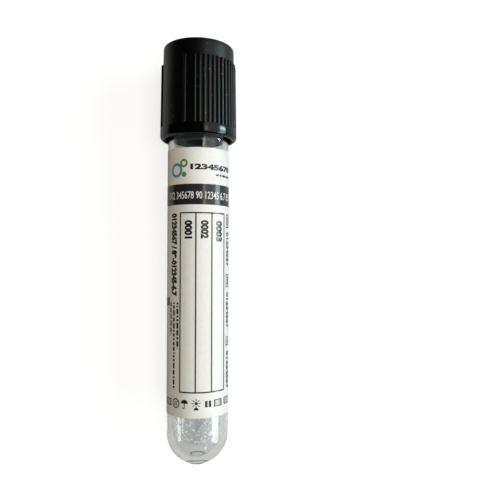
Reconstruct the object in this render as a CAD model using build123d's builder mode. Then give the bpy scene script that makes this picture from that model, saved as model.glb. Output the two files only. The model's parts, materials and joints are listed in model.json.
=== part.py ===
"""Blood collection tube with a pull-off closure, lying on its side.

The tube lies with its round bottom toward -Y and its closure toward +Y. It rests on
the closure's rim and on the round bottom, so its axis climbs a little toward +Y.
The origin is on the resting surface, under the middle of the whole tube.

Every piece is turned about one axis. A place on it is given by three values: the
height along the axis from the tip of the round bottom, the radius, and the meridian,
which is an angle in degrees about the axis, 0 on top and positive toward +X.
"""

import os
from math import asin, atan2, cos, degrees, hypot, radians, sin, tan

from build123d import *

# ---- Tube ----------------------------------------------------------------------------
tube_length = 75.0          # tip of the round bottom to the mouth
tube_r = 6.25               # outside radius
wall_at_mouth = 0.98
bore_draft = 0.45           # degrees by which the bore narrows toward the bottom
floor_thickness = 1.45      # wall at the very tip
lip_round = 0.3             # rounding of both edges of the mouth
gate_ring_r = 1.85          # bead left by the mould's gate insert
gate_bead_r = 0.11
tube_seam_angle = 92.8125   # meridian where the turned faces of the tube start and end

# ---- Stopper -------------------------------------------------------------------------
plug_length = 9.0           # length of the plug below the mouth
plug_clearance = 0.04       # radial, between the plug and the bore
plug_round = 0.6            # rounding of the plug's lower edge
plug_recess_r = 2.6         # hollow in the plug's lower end
septum_thickness = 4.6      # rubber left between the two hollows
flange_overhang = 0.3       # flange beyond the tube's outside
flange_thickness = 2.4
neck_r = 4.95               # waist that the closure's ring closes on
head_r = 5.85
head_height = 4.55
head_round = 0.5
well_r = 3.2                # needle well in the head
well_depth = 4.6

# ---- Closure shell -------------------------------------------------------------------
skirt_overlap = 8.7         # skirt below the mouth
shell_clearance = 0.2       # radial, between the flange and the shell
shell_wall = 0.55           # wall of the shell at its top
shell_draft = 0.7           # degrees by which the outside widens toward the rim
skirt_flare = 0.2           # the skirt's inside widens by this much at the rim
skirt_flare_height = 4.2
ring_thickness = 1.4        # ring that holds the stopper by its waist
ring_clearance = 0.1        # radial, between the ring and the waist
seat_gap = 0.02             # axial, between the flange and the mouth
lock_gap = 0.05             # axial, on each side of the ring
head_gap = 0.3              # axial, between the head and the plate
plate_thickness = 1.78      # top of the shell
needle_hole_r = 4.0
needle_hole_chamfer = 0.3
top_round = 0.4             # rounding of the shell's top edge
rim_height = 2.3            # smooth band at the rim
rim_lip = 0.42              # rim band beyond the shell's outside
rim_round = 0.8             # rounding of the rim's lower edge
rim_inner_round = 0.2
shell_seam_angle = 91.875   # meridian where the turned faces of the shell start and end

# ---- Grip ribs -----------------------------------------------------------------------
rib_height = 0.4            # beyond the shell's outside
rib_width = 0.62
rib_round = 0.24
rib_top_margin = 3.38       # smooth band above the ribs
rib_pitch = 7.4             # degrees
ribs_in_row = 12            # close ribs on each side of the closure
outrider_step = 15.5        # degrees from the end of a row to the single rib beyond it
first_row_middle = 39.4     # meridian of the middle of one row; the other is opposite

# ---- Label ---------------------------------------------------------------------------
label_gap = 0.03            # adhesive between the tube and the label
label_thickness = 0.07
label_bottom = 10.6         # above the tip of the round bottom
label_top_margin = 11.15    # below the mouth
label_right_angle = 108.0   # meridian of the label's right edge
strip_width = 4.9           # clear strip left between the label's two edges
label_corner_r = 1.6

# ---- Print on the label ----------------------------------------------------------------
ink_gap = 0.01
ink_thickness = 0.02
band_margin = 7.25          # from the label's top edge to the dark band
band_height = 4.1
form_top_margin = 1.5       # from the band to the form
form_bottom_margin = 4.85   # from the form to the label's bottom edge
form_left_angle = -29.7     # meridian of the form's left line
column_width = 3.26         # along the label
columns = 3
line_width = 0.27

# ---- Additive ------------------------------------------------------------------------
pool_clearance = 0.03       # between the solution and the bore
pool_depth = 1.98           # depth of the solution near the round bottom

# ---- Heights along the axis, worked out from the sizes above --------------------------
mouth = tube_length
plug_bottom = mouth - plug_length
flange_bottom = mouth + seat_gap
flange_top = flange_bottom + flange_thickness
ring_bottom = flange_top + lock_gap
ring_top = ring_bottom + ring_thickness
head_bottom = ring_top + lock_gap
head_top = head_bottom + head_height
plate_bottom = head_top + head_gap
shell_top = plate_bottom + plate_thickness
rim_bottom = mouth - skirt_overlap
rim_top = rim_bottom + rim_height
well_bottom = head_top - well_depth
plug_recess_top = well_bottom - septum_thickness
rib_top = shell_top - rib_top_margin
label_top = mouth - label_top_margin
band_top = label_top - band_margin
band_bottom = band_top - band_height
form_top = band_bottom - form_top_margin
form_bottom = label_bottom + form_bottom_margin

# ---- Radii, worked out from the sizes above --------------------------------------------
draft = radians(bore_draft)
bore_mouth_r = tube_r - wall_at_mouth
bore_dome_r = (bore_mouth_r - (mouth - floor_thickness) * tan(draft)) * cos(draft) / (1 - sin(draft))
bore_dome_centre = floor_thickness + bore_dome_r
flange_r = tube_r + flange_overhang
chamber_r = flange_r + shell_clearance
ring_r = neck_r + ring_clearance
pocket_r = head_r + ring_clearance
skirt_r = chamber_r + skirt_flare
shell_top_r = chamber_r + shell_wall
label_r = tube_r + label_gap
label_outer_r = label_r + label_thickness
ink_r = label_outer_r + ink_gap


def bore_radius(height):
    """Radius of the tube's bore at a height along the axis."""
    return bore_mouth_r - (mouth - height) * tan(draft)


def shell_radius(height):
    """Radius of the closure's outside, without its ribs, at a height along the axis."""
    return shell_top_r + (shell_top - height) * tan(radians(shell_draft))


rim_r = shell_radius(rim_top) + rim_lip

# ---- Where the axis lies when the tube rests on its rim and its round bottom ------------
# The resting surface touches two round outlines at once: the bottom's and the rim's.
rim_round_centre_r = rim_r - rim_round
rim_round_height = rim_bottom + rim_round
reach = rim_round_height - tube_r
tilt = asin((rim_round - tube_r) / hypot(reach, rim_round_centre_r)) + atan2(rim_round_centre_r, reach)
tip_z = tube_r * (1 - sin(tilt))
low_end = tube_r * (cos(tilt) - 1)
high_end = (shell_top - top_round) * cos(tilt) + (shell_top_r - top_round) * sin(tilt) + top_round
tip_y = -(low_end + high_end) / 2

tip = Vector(0, tip_y, tip_z)
along = Vector(0, cos(tilt), sin(tilt))
upward = Vector(0, -sin(tilt), cos(tilt))
sideways = Vector(1, 0, 0)
tube_axis = Axis(tip, along)


def meridian_plane(angle):
    """Plane through the axis, its x along the radius at this meridian, its y along the axis."""
    radius_dir = sideways * sin(radians(angle)) + upward * cos(radians(angle))
    return Plane(origin=tip, x_dir=radius_dir, z_dir=radius_dir.cross(along))


def corner_plane(angle, height, inward, rise):
    """Plane that touches the label at one corner, its x and y running in from both edges."""
    radius_dir = meridian_plane(angle).x_dir
    x_dir = along.cross(radius_dir) * inward
    return Plane(
        origin=tip + along * height + radius_dir * label_outer_r,
        x_dir=x_dir,
        z_dir=x_dir.cross(along * rise),
    )


tube_plane = meridian_plane(tube_seam_angle)
shell_plane = meridian_plane(shell_seam_angle)

# ---- Tube: clear, with a round bottom and a slightly tapered bore -----------------------
bore_wall_end = (bore_dome_r * cos(draft), bore_dome_centre - bore_dome_r * sin(draft))
with BuildPart() as tube:
    with BuildSketch(tube_plane) as tube_profile:
        with BuildLine():
            RadiusArc((0, 0), (tube_r, tube_r), -tube_r)
            Line((tube_r, tube_r), (tube_r, mouth))
            Line((tube_r, mouth), (bore_mouth_r, mouth))
            Line((bore_mouth_r, mouth), bore_wall_end)
            TangentArc(bore_wall_end, (0, floor_thickness), tangent=(-sin(draft), -cos(draft)))
            Line((0, floor_thickness), (0, 0))
        make_face()
        fillet(tube_profile.vertices().group_by(Axis.Y)[-1], lip_round)
    revolve(axis=tube_axis)
    gate_angle = asin(gate_ring_r / tube_r)
    with BuildSketch(tube_plane):
        with Locations((gate_ring_r, tube_r * (1 - cos(gate_angle)))):
            Circle(gate_bead_r)
    revolve(axis=tube_axis)
tube.part.label = "tube"

# ---- Stopper: rubber plug, flange, waist and head, hollow at both ends ------------------
plug_top_r = bore_radius(mouth) - plug_clearance
plug_bottom_r = bore_radius(plug_bottom) - plug_clearance
with BuildPart() as stopper:
    with BuildSketch(tube_plane) as stopper_profile:
        with BuildLine():
            Polyline(
                (0, plug_recess_top),
                (plug_recess_r, plug_recess_top),
                (plug_recess_r, plug_bottom),
                (plug_bottom_r, plug_bottom),
                (plug_top_r, mouth),
                (plug_top_r, flange_bottom),
                (flange_r, flange_bottom),
                (flange_r, flange_top),
                (neck_r, flange_top),
                (neck_r, head_bottom),
                (head_r, head_bottom),
                (head_r, head_top),
                (well_r, head_top),
                (well_r, well_bottom),
                (0, well_bottom),
                close=True,
            )
        make_face()
        plug_corner = stopper_profile.vertices().group_by(Axis.Y)[0].sort_by(Axis.X)[-1]
        fillet(plug_corner, plug_round)
        head_corners = stopper_profile.vertices().group_by(Axis.Y)[-1]
        fillet(head_corners, head_round)
    revolve(axis=tube_axis)
stopper.part.label = "stopper"

# ---- One grip rib, rounded along its outer edges, at the top meridian -------------------
rib_foot = rim_top - rim_height / 2
rib_root_r = (chamber_r + shell_top_r) / 2
with BuildPart() as rib:
    with BuildSketch(meridian_plane(0)):
        with BuildLine():
            Polyline(
                (rib_root_r, rib_foot),
                (shell_radius(rib_foot) + rib_height, rib_foot),
                (shell_radius(rib_top) + rib_height, rib_top),
                (rib_root_r, rib_top),
                close=True,
            )
        make_face()
    extrude(amount=rib_width / 2, both=True)
    outer_face = rib.faces().sort_by(Axis(tip, upward))[-1]
    fillet(outer_face.edges().sort_by(tube_axis)[1:], rib_round)

row_half = rib_pitch * (ribs_in_row - 1) / 2
row_angles = [rib_pitch * count - row_half for count in range(ribs_in_row)]
side_angles = [-row_half - outrider_step] + row_angles + [row_half + outrider_step]
rib_angles = [middle + angle for middle in (first_row_middle, first_row_middle + 180) for angle in side_angles]

# ---- Closure shell: ribbed skirt, holding ring, top plate with the needle hole -----------
with BuildPart() as cap:
    with BuildSketch(shell_plane) as cap_profile:
        with BuildLine():
            Polyline(
                (skirt_r, rim_bottom),
                (rim_r, rim_bottom),
                (rim_r, rim_top),
                (shell_radius(rim_top), rim_top),
                (shell_top_r, shell_top),
                (needle_hole_r, shell_top),
                (needle_hole_r, plate_bottom),
                (pocket_r, plate_bottom),
                (pocket_r, ring_top),
                (ring_r, ring_top),
                (ring_r, ring_bottom),
                (chamber_r, ring_bottom),
                (chamber_r, rim_bottom + skirt_flare_height),
                close=True,
            )
        make_face()
        rim_corners = cap_profile.vertices().group_by(Axis.Y)[0].sort_by(Axis.X)
        fillet(rim_corners[-1], rim_round)
        fillet(rim_corners[0], rim_inner_round)
        top_corners = cap_profile.vertices().group_by(Axis.Y)[-1].sort_by(Axis.X)
        fillet(top_corners[-1], top_round)
        chamfer(top_corners[0], needle_hole_chamfer)
    revolve(axis=tube_axis)
    add([rib.part.rotate(tube_axis, angle) for angle in rib_angles])
cap.part.label = "cap"

# ---- Label: paper sheet round the tube, short of closing, with rounded corners -----------
strip_angle = degrees(strip_width / label_outer_r)
label_angle = 360 - strip_angle
label_left_angle = label_right_angle - label_angle
with BuildPart() as label:
    with BuildSketch(meridian_plane(label_left_angle)):
        with Locations((label_r, label_bottom)):
            Rectangle(label_thickness, label_top - label_bottom, align=(Align.MIN, Align.MIN))
    revolve(axis=tube_axis, revolution_arc=label_angle)
    for edge, inward in ((label_left_angle, 1), (label_right_angle, -1)):
        for height, rise in ((label_bottom, 1), (label_top, -1)):
            with BuildSketch(corner_plane(edge, height, inward, rise)):
                Rectangle(2 * label_corner_r, 2 * label_corner_r)
                with Locations((label_corner_r, label_corner_r)):
                    Circle(label_corner_r, mode=Mode.SUBTRACT)
            extrude(amount=label_corner_r, both=True, mode=Mode.SUBTRACT)
label.part.label = "label"


def inked_patch(left, arc, bottom, height):
    """One field of ink on the label, from a meridian round by an arc, as a solid of its own."""
    with BuildPart(mode=Mode.PRIVATE) as patch:
        with BuildSketch(meridian_plane(left)):
            with Locations((ink_r, bottom)):
                Rectangle(ink_thickness, height, align=(Align.MIN, Align.MIN))
        revolve(axis=tube_axis, revolution_arc=arc)
    return patch.part


# ---- Print: dark band right across the label, and the ruled form under it ----------------
column_angle = degrees(column_width / label_outer_r)
line_angle = degrees(line_width / label_outer_r)
form_angle = column_angle * columns + line_angle
with BuildPart() as label_print:
    add(inked_patch(label_left_angle, label_angle, band_bottom, band_top - band_bottom))
    for bottom in (form_bottom, form_top - line_width):
        add(inked_patch(form_left_angle, form_angle, bottom, line_width))
    for column in range(columns + 1):
        add(inked_patch(form_left_angle + column * column_angle, line_angle, form_bottom, form_top - form_bottom))
label_print.part.label = "label_print"

# ---- Additive: a shallow level pool along the underside of the bore ----------------------
pool_dome_r = bore_dome_r - pool_clearance
pool_wall_end = (pool_dome_r * cos(draft), bore_dome_centre - pool_dome_r * sin(draft))
pool_floor = bore_dome_centre - pool_dome_r
pool_head = plug_bottom - pool_clearance
pool_level = tip_z + bore_dome_centre * sin(tilt) - bore_dome_r + pool_depth
with BuildPart() as citrate_solution:
    with BuildSketch(tube_plane):
        with BuildLine():
            TangentArc(pool_wall_end, (0, pool_floor), tangent=(-sin(draft), -cos(draft)))
            Polyline(
                (0, pool_floor),
                (0, pool_head),
                (bore_radius(pool_head) - pool_clearance, pool_head),
                pool_wall_end,
            )
        make_face()
    revolve(axis=tube_axis)
    split(bisect_by=Plane.XY.offset(pool_level), keep=Keep.BOTTOM)
citrate_solution.part.label = "citrate_solution"

os.makedirs("parts", exist_ok=True)
export_step(tube.part, "parts/tube.step")
export_step(stopper.part, "parts/stopper.step")
export_step(cap.part, "parts/cap.step")
export_step(label.part, "parts/label.step")
export_step(label_print.part, "parts/label_print.step")
export_step(citrate_solution.part, "parts/citrate_solution.step")

for piece in (tube, stopper, cap, label, label_print, citrate_solution):
    print(f"{piece.part.label}: {piece.part.volume / 1000:.3f} cm3, {len(piece.part.solids())} solid(s)")
print(f"tilt {degrees(tilt):.3f} degrees, overall length {high_end - low_end:.2f} mm")
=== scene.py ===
"""Looks of a blood collection tube with a pull-off closure, lying on its side.

Each sub-assembly is a class: its fields are its sizes, and its methods turn, wrap and
dress its meshes. Sizes are in millimetres and angles in degrees, and TubeAxis.place turns
a place into metres. A place on the object is its radius, its height along the axis from
the tip of the round bottom, and its meridian, which is 0 on top and positive toward +X.
"""

import json
import logging
import math
import random
from dataclasses import dataclass, replace
from enum import Enum
from typing import Any, Iterator, Sequence

import bmesh
import bpy
from mathutils import Matrix, Vector


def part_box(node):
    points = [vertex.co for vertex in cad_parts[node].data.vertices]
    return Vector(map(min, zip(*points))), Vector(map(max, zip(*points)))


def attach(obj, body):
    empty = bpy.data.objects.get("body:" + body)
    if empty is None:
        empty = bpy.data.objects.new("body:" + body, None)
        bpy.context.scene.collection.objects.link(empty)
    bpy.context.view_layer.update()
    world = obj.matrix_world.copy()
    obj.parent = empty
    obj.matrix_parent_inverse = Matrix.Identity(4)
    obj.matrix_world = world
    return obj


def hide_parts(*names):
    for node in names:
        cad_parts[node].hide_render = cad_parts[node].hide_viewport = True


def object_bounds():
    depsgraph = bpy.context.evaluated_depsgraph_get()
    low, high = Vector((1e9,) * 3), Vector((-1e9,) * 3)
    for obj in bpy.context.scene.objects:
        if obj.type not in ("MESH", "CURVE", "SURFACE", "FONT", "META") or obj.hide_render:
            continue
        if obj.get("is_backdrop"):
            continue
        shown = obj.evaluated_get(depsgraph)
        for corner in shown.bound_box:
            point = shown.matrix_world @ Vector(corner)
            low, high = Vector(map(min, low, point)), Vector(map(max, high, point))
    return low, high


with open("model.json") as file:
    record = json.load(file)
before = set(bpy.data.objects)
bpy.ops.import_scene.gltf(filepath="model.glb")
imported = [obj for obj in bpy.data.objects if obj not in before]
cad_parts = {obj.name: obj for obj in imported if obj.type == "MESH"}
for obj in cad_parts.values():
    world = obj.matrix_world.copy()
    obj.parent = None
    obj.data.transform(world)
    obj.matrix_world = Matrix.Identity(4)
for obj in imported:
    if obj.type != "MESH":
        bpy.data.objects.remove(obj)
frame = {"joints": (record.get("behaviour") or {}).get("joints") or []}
CAD_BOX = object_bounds()

LOG = logging.getLogger("collection_tube")
MM = 0.001
JOIN = 1e-8  # points nearer to each other than this, in metres, become one

Point = tuple[float, float]
Pair = tuple[float, float]
Triple = tuple[float, float, float]
Colour = tuple[float, float, float]


# ---- Places ------------------------------------------------------------------------------


@dataclass(frozen=True)
class TubeAxis:
    """The line that every piece is turned about.

    Attributes:
        tip: Where the line leaves the tube's round bottom, in metres.
        along: Direction from the round bottom to the closure.
        upward: Direction of meridian 0.
        sideways: Direction of meridian 90.
    """

    tip: Vector
    along: Vector
    upward: Vector
    sideways: Vector

    @classmethod
    def of_resting_tube(cls, joint_axis: Sequence[float], low: Vector, tube_r: float) -> "TubeAxis":
        """Find the line from the joint's direction and the tube's lowest corner.

        Args:
            joint_axis: Direction in which the closure is pulled off.
            low: Lowest corner of the tube's box, in metres.
            tube_r: Outside radius of the tube and of its round bottom.

        Returns:
            The axis of a tube whose round bottom touches the floor.
        """
        along = Vector(joint_axis).normalized()
        sideways = Vector((1.0, 0.0, 0.0))
        radius = tube_r * MM
        tip = Vector((0.0, low.y + radius * (1 - along.y), radius * (1 - along.z)))
        return cls(tip, along, sideways.cross(along), sideways)

    def place(self, radius: float, height: float, meridian: float) -> Vector:
        """Turn a place on the object into a point in metres.

        Args:
            radius: Distance from the axis.
            height: Distance from the tip along the axis.
            meridian: Angle about the axis.

        Returns:
            The point in the frame of the whole object.
        """
        angle = math.radians(meridian)
        outward = self.sideways * math.sin(angle) + self.upward * math.cos(angle)
        return self.tip + (self.along * height + outward * radius) * MM


def arc(centre: Point, radius: float, start: float, end: float, steps: int) -> list[Point]:
    """Points of an arc in the plane of radius and height.

    Args:
        centre: Radius and height of the arc's centre.
        radius: Radius of the arc.
        start: Direction of the first point, 0 away from the axis and 90 toward the closure.
        end: Direction of the last point.
        steps: Number of chords.

    Returns:
        The points, both ends included.
    """
    angles = (math.radians(start + (end - start) * step / steps) for step in range(steps + 1))
    return [(centre[0] + radius * math.cos(a), centre[1] + radius * math.sin(a)) for a in angles]


def spread(start: float, end: float, steps: int) -> list[float]:
    """Evenly spaced values, both ends included."""
    return [start + (end - start) * step / steps for step in range(steps + 1)]


# ---- Meshes ------------------------------------------------------------------------------


def make_object(name: str, shape: bmesh.types.BMesh, crease: float = 35.0) -> bpy.types.Object:
    """Close a shape's mesh, shade it smooth and put it in the scene.

    Args:
        name: Name of the new object.
        shape: The mesh in metres, which is freed.
        crease: Edges that turn by more than this stay sharp.

    Returns:
        The new object.
    """
    bmesh.ops.remove_doubles(shape, verts=shape.verts, dist=JOIN)
    bmesh.ops.recalc_face_normals(shape, faces=shape.faces)
    mesh = bpy.data.meshes.new(name)
    shape.to_mesh(mesh)
    shape.free()
    mesh.polygons.foreach_set("use_smooth", [True] * len(mesh.polygons))
    mesh.set_sharp_from_angle(angle=math.radians(crease))
    piece = bpy.data.objects.new(name, mesh)
    bpy.context.scene.collection.objects.link(piece)
    return piece


def grid_shape(grid: Sequence[Sequence[Vector]], around: bool, through: bool) -> bmesh.types.BMesh:
    """Join a grid of points with four-sided faces.

    Args:
        grid: Lists of points, all equally long.
        around: Whether each list closes on itself.
        through: Whether the last list joins the first one.

    Returns:
        The open or closed skin through the points.
    """
    shape = bmesh.new()
    rows = [[shape.verts.new(point) for point in row] for row in grid]
    width = len(rows[0])
    following = rows[1:] + rows[:1] if through else rows[1:]
    for lower, upper in zip(rows, following):
        for i in range(width if around else width - 1):
            j = (i + 1) % width
            shape.faces.new((lower[i], lower[j], upper[j], upper[i]))
    if through and not around:
        shape.faces.new([row[0] for row in rows])
        shape.faces.new([row[-1] for row in reversed(rows)])
    return shape


def turned_shape(axis: TubeAxis, profile: Sequence[Point], columns: int) -> bmesh.types.BMesh:
    """Turn a profile about the axis.

    Args:
        axis: The tube's axis.
        profile: Radius and height of each point, from the axis round to the axis again.
        columns: Number of steps round the axis.

    Returns:
        The closed skin.
    """
    meridians = [360 * column / columns for column in range(columns)]
    grid = [[axis.place(radius, height, m) for m in meridians] for radius, height in profile]
    return grid_shape(grid, around=True, through=False)


def dress(piece: bpy.types.Object, body: str, slot: str, *nodes: str) -> None:
    """Fix a piece to its body, hide the plain solids that it replaces and log it.

    Args:
        piece: The finished piece, with its materials.
        body: Body that it moves with.
        slot: Material slot of the record; not used.
        *nodes: Plain solids that it replaces.
    """
    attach(piece, body)
    if nodes:
        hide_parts(*nodes)
    LOG.info("%s: %d faces on %s", piece.name, len(piece.data.polygons), body)


# ---- Finishes ----------------------------------------------------------------------------


class NodeSheet:
    """A material's nodes, with short ways to add and join them."""

    def __init__(self, name: str) -> None:
        """Start an empty material.

        Args:
            name: Name of the material.
        """
        self.material = bpy.data.materials.new(name)
        self.material.use_nodes = True
        self.tree = self.material.node_tree
        self.tree.nodes.clear()

    def add(self, kind: str, *inputs: Any, settings: dict[str, Any] | None = None, **named: Any) -> Any:
        """Add one node and fill its sockets.

        Args:
            kind: Type name of the node.
            *inputs: Values or sockets for the first sockets, in order; None leaves one alone.
            settings: Values of the node's own settings.
            **named: Values or sockets for sockets by name, with _ for a space.

        Returns:
            The new node.
        """
        node = self.tree.nodes.new(kind)
        for key, value in (settings or {}).items():
            setattr(node, key, value)
        wanted = [(node.inputs[i], value) for i, value in enumerate(inputs) if value is not None]
        wanted += [(node.inputs[key.replace("_", " ")], value) for key, value in named.items()]
        for socket, value in wanted:
            if isinstance(value, bpy.types.NodeSocket):
                self.tree.links.new(value, socket)
            else:
                socket.default_value = value
        return node

    def calculate(self, operation: str, *inputs: Any, clamp: bool = False) -> Any:
        """Add a node that calculates.

        Args:
            operation: Name of the operation.
            *inputs: Values or sockets that it takes.
            clamp: Whether the result stays between 0 and 1.

        Returns:
            The socket of the result.
        """
        settings = {"operation": operation, "use_clamp": clamp}
        return self.add("ShaderNodeMath", *inputs, settings=settings).outputs[0]

    def noise(self, scale: float, stretch: Triple = (1.0, 1.0, 1.0), detail: float = 2.0) -> Any:
        """Noise in the object's own space.

        Args:
            scale: Noise cells in a metre.
            stretch: Factors on the scale along X, Y and Z.
            detail: Number of finer layers.

        Returns:
            The socket with values around one half.
        """
        place = self.add("ShaderNodeTexCoord").outputs["Object"]
        mapped = self.add("ShaderNodeMapping", place, Scale=stretch).outputs[0]
        return self.add("ShaderNodeTexNoise", Vector=mapped, Scale=scale, Detail=detail).outputs[0]

    def between(self, factor: Any, low: Colour, high: Colour, start: float = 0.3, end: float = 0.7) -> Any:
        """Blend two colours.

        Args:
            factor: Socket that says how much of the second colour shows.
            low: Colour below start.
            high: Colour above end.
            start: Factor at which the blend starts.
            end: Factor at which it ends.

        Returns:
            The colour socket.
        """
        ramp = self.add("ShaderNodeValToRGB", factor)
        for stop, place, colour in zip(ramp.color_ramp.elements, (start, end), (low, high)):
            stop.position = place
            stop.color = (*colour, 1.0)
        return ramp.outputs[0]

    def bump(self, height: Any, depth: float) -> Any:
        """Normals of a surface that rises and falls by a depth in millimetres."""
        return self.add("ShaderNodeBump", Height=height, Distance=depth * MM).outputs[0]

    def clear_shadow(self, shader: Any, share: float) -> Any:
        """Let lamps shine through a clear shader.

        Args:
            shader: Node of the clear shader.
            share: Share of the light that passes.

        Returns:
            The node that mixes both.
        """
        shadow = self.add("ShaderNodeLightPath").outputs["Is Shadow Ray"]
        passed = self.add("ShaderNodeBsdfTransparent", (share, share, share, 1.0))
        return self.add("ShaderNodeMixShader", shadow, shader.outputs[0], passed.outputs[0])

    def finish(self, shader: Any) -> bpy.types.Material:
        """Join the last shader to the output and return the material."""
        self.add("ShaderNodeOutputMaterial", Surface=shader.outputs[0])
        return self.material


@dataclass(frozen=True)
class ClearPlastic:
    """Clear moulded polyester, with faint flow lines along the tube.

    Attributes:
        name: Name of the material.
        colour: Tint of the plastic.
        ior: Index of refraction.
        roughness: Roughness of its skin.
        flow_cells: Flow lines in a metre.
        flow_stretch: Factors on that number along X, Y and Z.
        flow_depth: Height of the flow lines.
        shadow_share: Share of the lamps' light that passes through.
    """

    name: str = "clear_plastic"
    colour: Colour = (0.955, 0.97, 0.972)
    ior: float = 1.575
    roughness: float = 0.012
    flow_cells: float = 420.0
    flow_stretch: Triple = (1.0, 0.12, 1.0)
    flow_depth: float = 0.012
    shadow_share: float = 0.95

    def material(self) -> bpy.types.Material:
        """Make the Blender material.

        Returns:
            The new material.
        """
        sheet = NodeSheet(self.name)
        flow = sheet.noise(self.flow_cells, stretch=self.flow_stretch, detail=1.0)
        clear = sheet.add(
            "ShaderNodeBsdfPrincipled",
            Base_Color=(*self.colour, 1.0),
            Roughness=self.roughness,
            IOR=self.ior,
            Transmission_Weight=1.0,
            Normal=sheet.bump(flow, self.flow_depth),
        )
        return sheet.finish(sheet.clear_shadow(clear, self.shadow_share))


@dataclass(frozen=True)
class Water:
    """Clear watery solution.

    Attributes:
        name: Name of the material.
        colour: Tint of the solution.
        ior: Index of refraction.
        ripple_cells: Ripples in a metre.
        ripple_depth: Height of the ripples.
        shadow_share: Share of the lamps' light that passes through.
    """

    name: str = "clear_solution"
    colour: Colour = (0.985, 0.993, 0.995)
    ior: float = 1.34
    ripple_cells: float = 350.0
    ripple_depth: float = 0.004
    shadow_share: float = 0.97

    def material(self) -> bpy.types.Material:
        """Make the Blender material.

        Returns:
            The new material.
        """
        sheet = NodeSheet(self.name)
        clear = sheet.add(
            "ShaderNodeBsdfPrincipled",
            Base_Color=(*self.colour, 1.0),
            Roughness=0.0,
            IOR=self.ior,
            Transmission_Weight=1.0,
            Normal=sheet.bump(sheet.noise(self.ripple_cells), self.ripple_depth),
        )
        return sheet.finish(sheet.clear_shadow(clear, self.shadow_share))


@dataclass(frozen=True)
class PaintedGlint:
    """White for the drops and bubbles: a painted highlight that stands in for the sparkle of clear water.

    Attributes:
        name: Name of the material.
        colour: White of the painted highlight.
        clearness: Share of the light that goes through it.
        roughness: Roughness of its skin.
        ior: Index of refraction.
        film_cells: Uneven places of its skin in a metre.
        film_depth: Height of the uneven places.
    """

    name: str = "painted_glint"
    colour: Colour = (0.96, 0.985, 0.99)
    clearness: float = 0.05
    roughness: float = 0.08
    ior: float = 1.34
    film_cells: float = 2500.0
    film_depth: float = 0.004

    def material(self) -> bpy.types.Material:
        """Make the Blender material.

        Returns:
            The new material.
        """
        sheet = NodeSheet(self.name)
        return sheet.finish(sheet.add(
            "ShaderNodeBsdfPrincipled",
            Base_Color=(*self.colour, 1.0),
            Roughness=self.roughness,
            IOR=self.ior,
            Transmission_Weight=self.clearness,
            Normal=sheet.bump(sheet.noise(self.film_cells), self.film_depth),
        ))


@dataclass(frozen=True)
class BlackPlastic:
    """Black moulded plastic with a fine grain and a few specks of dust.

    Attributes:
        name: Name of the material.
        colour: Colour of the clean plastic.
        dust: Colour of the specks.
        roughness: Mean roughness.
        roughness_range: How far the roughness goes to each side.
        gloss_cells: Duller and shinier places in a metre.
        ior: Index of refraction.
        grain_cells: Grains in a metre.
        grain_depth: Height of the grain.
        dust_cells: Cells for specks in a metre.
        dust_share: Share of the cells that hold a speck.
        speck_r: Radius of a speck, as a share of its cell.
    """

    name: str = "black_plastic"
    colour: Colour = (0.0009, 0.001, 0.0012)
    dust: Colour = (0.42, 0.4, 0.36)
    roughness: float = 0.37
    roughness_range: float = 0.03
    gloss_cells: float = 900.0
    ior: float = 1.5
    grain_cells: float = 5200.0
    grain_depth: float = 0.006
    dust_cells: float = 820.0
    dust_share: float = 0.85
    speck_r: float = 0.062

    def specks(self, sheet: NodeSheet) -> Any:
        """Scatter the specks of dust.

        Args:
            sheet: The material's nodes.

        Returns:
            The socket that is 1 on a speck and 0 beside it.
        """
        place = sheet.add("ShaderNodeTexCoord").outputs["Object"]
        cells = sheet.add("ShaderNodeTexVoronoi", Vector=place, Scale=self.dust_cells).outputs
        near = sheet.calculate("LESS_THAN", cells["Distance"], self.speck_r)
        chosen = sheet.calculate("GREATER_THAN", cells["Color"], 1 - self.dust_share)
        return sheet.calculate("MULTIPLY", near, chosen)

    def material(self) -> bpy.types.Material:
        """Make the Blender material.

        Returns:
            The new material.
        """
        sheet = NodeSheet(self.name)
        low, high = self.roughness - self.roughness_range, self.roughness + self.roughness_range
        gloss = sheet.add("ShaderNodeMapRange", sheet.noise(self.gloss_cells), 0.3, 0.7, low, high)
        return sheet.finish(sheet.add(
            "ShaderNodeBsdfPrincipled",
            Base_Color=sheet.between(self.specks(sheet), self.colour, self.dust),
            Roughness=gloss.outputs[0],
            IOR=self.ior,
            Normal=sheet.bump(sheet.noise(self.grain_cells, detail=3.0), self.grain_depth),
        ))


@dataclass(frozen=True)
class DarkRubber:
    """Smooth moulded stopper rubber, a little cloudy.

    Attributes:
        name: Name of the material.
        colour: Colour of the rubber.
        cloud_gain: Factor on the colour where it is lighter.
        cloud_cells: Lighter places in a metre.
        roughness: Roughness of its skin.
        ior: Index of refraction.
        grain_cells: Grains in a metre.
        grain_depth: Height of the grain.
    """

    name: str = "stopper_rubber"
    colour: Colour = (0.007, 0.01, 0.013)
    cloud_gain: float = 1.35
    cloud_cells: float = 700.0
    roughness: float = 0.62
    ior: float = 1.5
    grain_cells: float = 3500.0
    grain_depth: float = 0.006

    def material(self) -> bpy.types.Material:
        """Make the Blender material.

        Returns:
            The new material.
        """
        sheet = NodeSheet(self.name)
        lighter = tuple(value * self.cloud_gain for value in self.colour)
        return sheet.finish(sheet.add(
            "ShaderNodeBsdfPrincipled",
            Base_Color=sheet.between(sheet.noise(self.cloud_cells), self.colour, lighter),
            Roughness=self.roughness,
            IOR=self.ior,
            Normal=sheet.bump(sheet.noise(self.grain_cells, detail=3.0), self.grain_depth),
        ))


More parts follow.
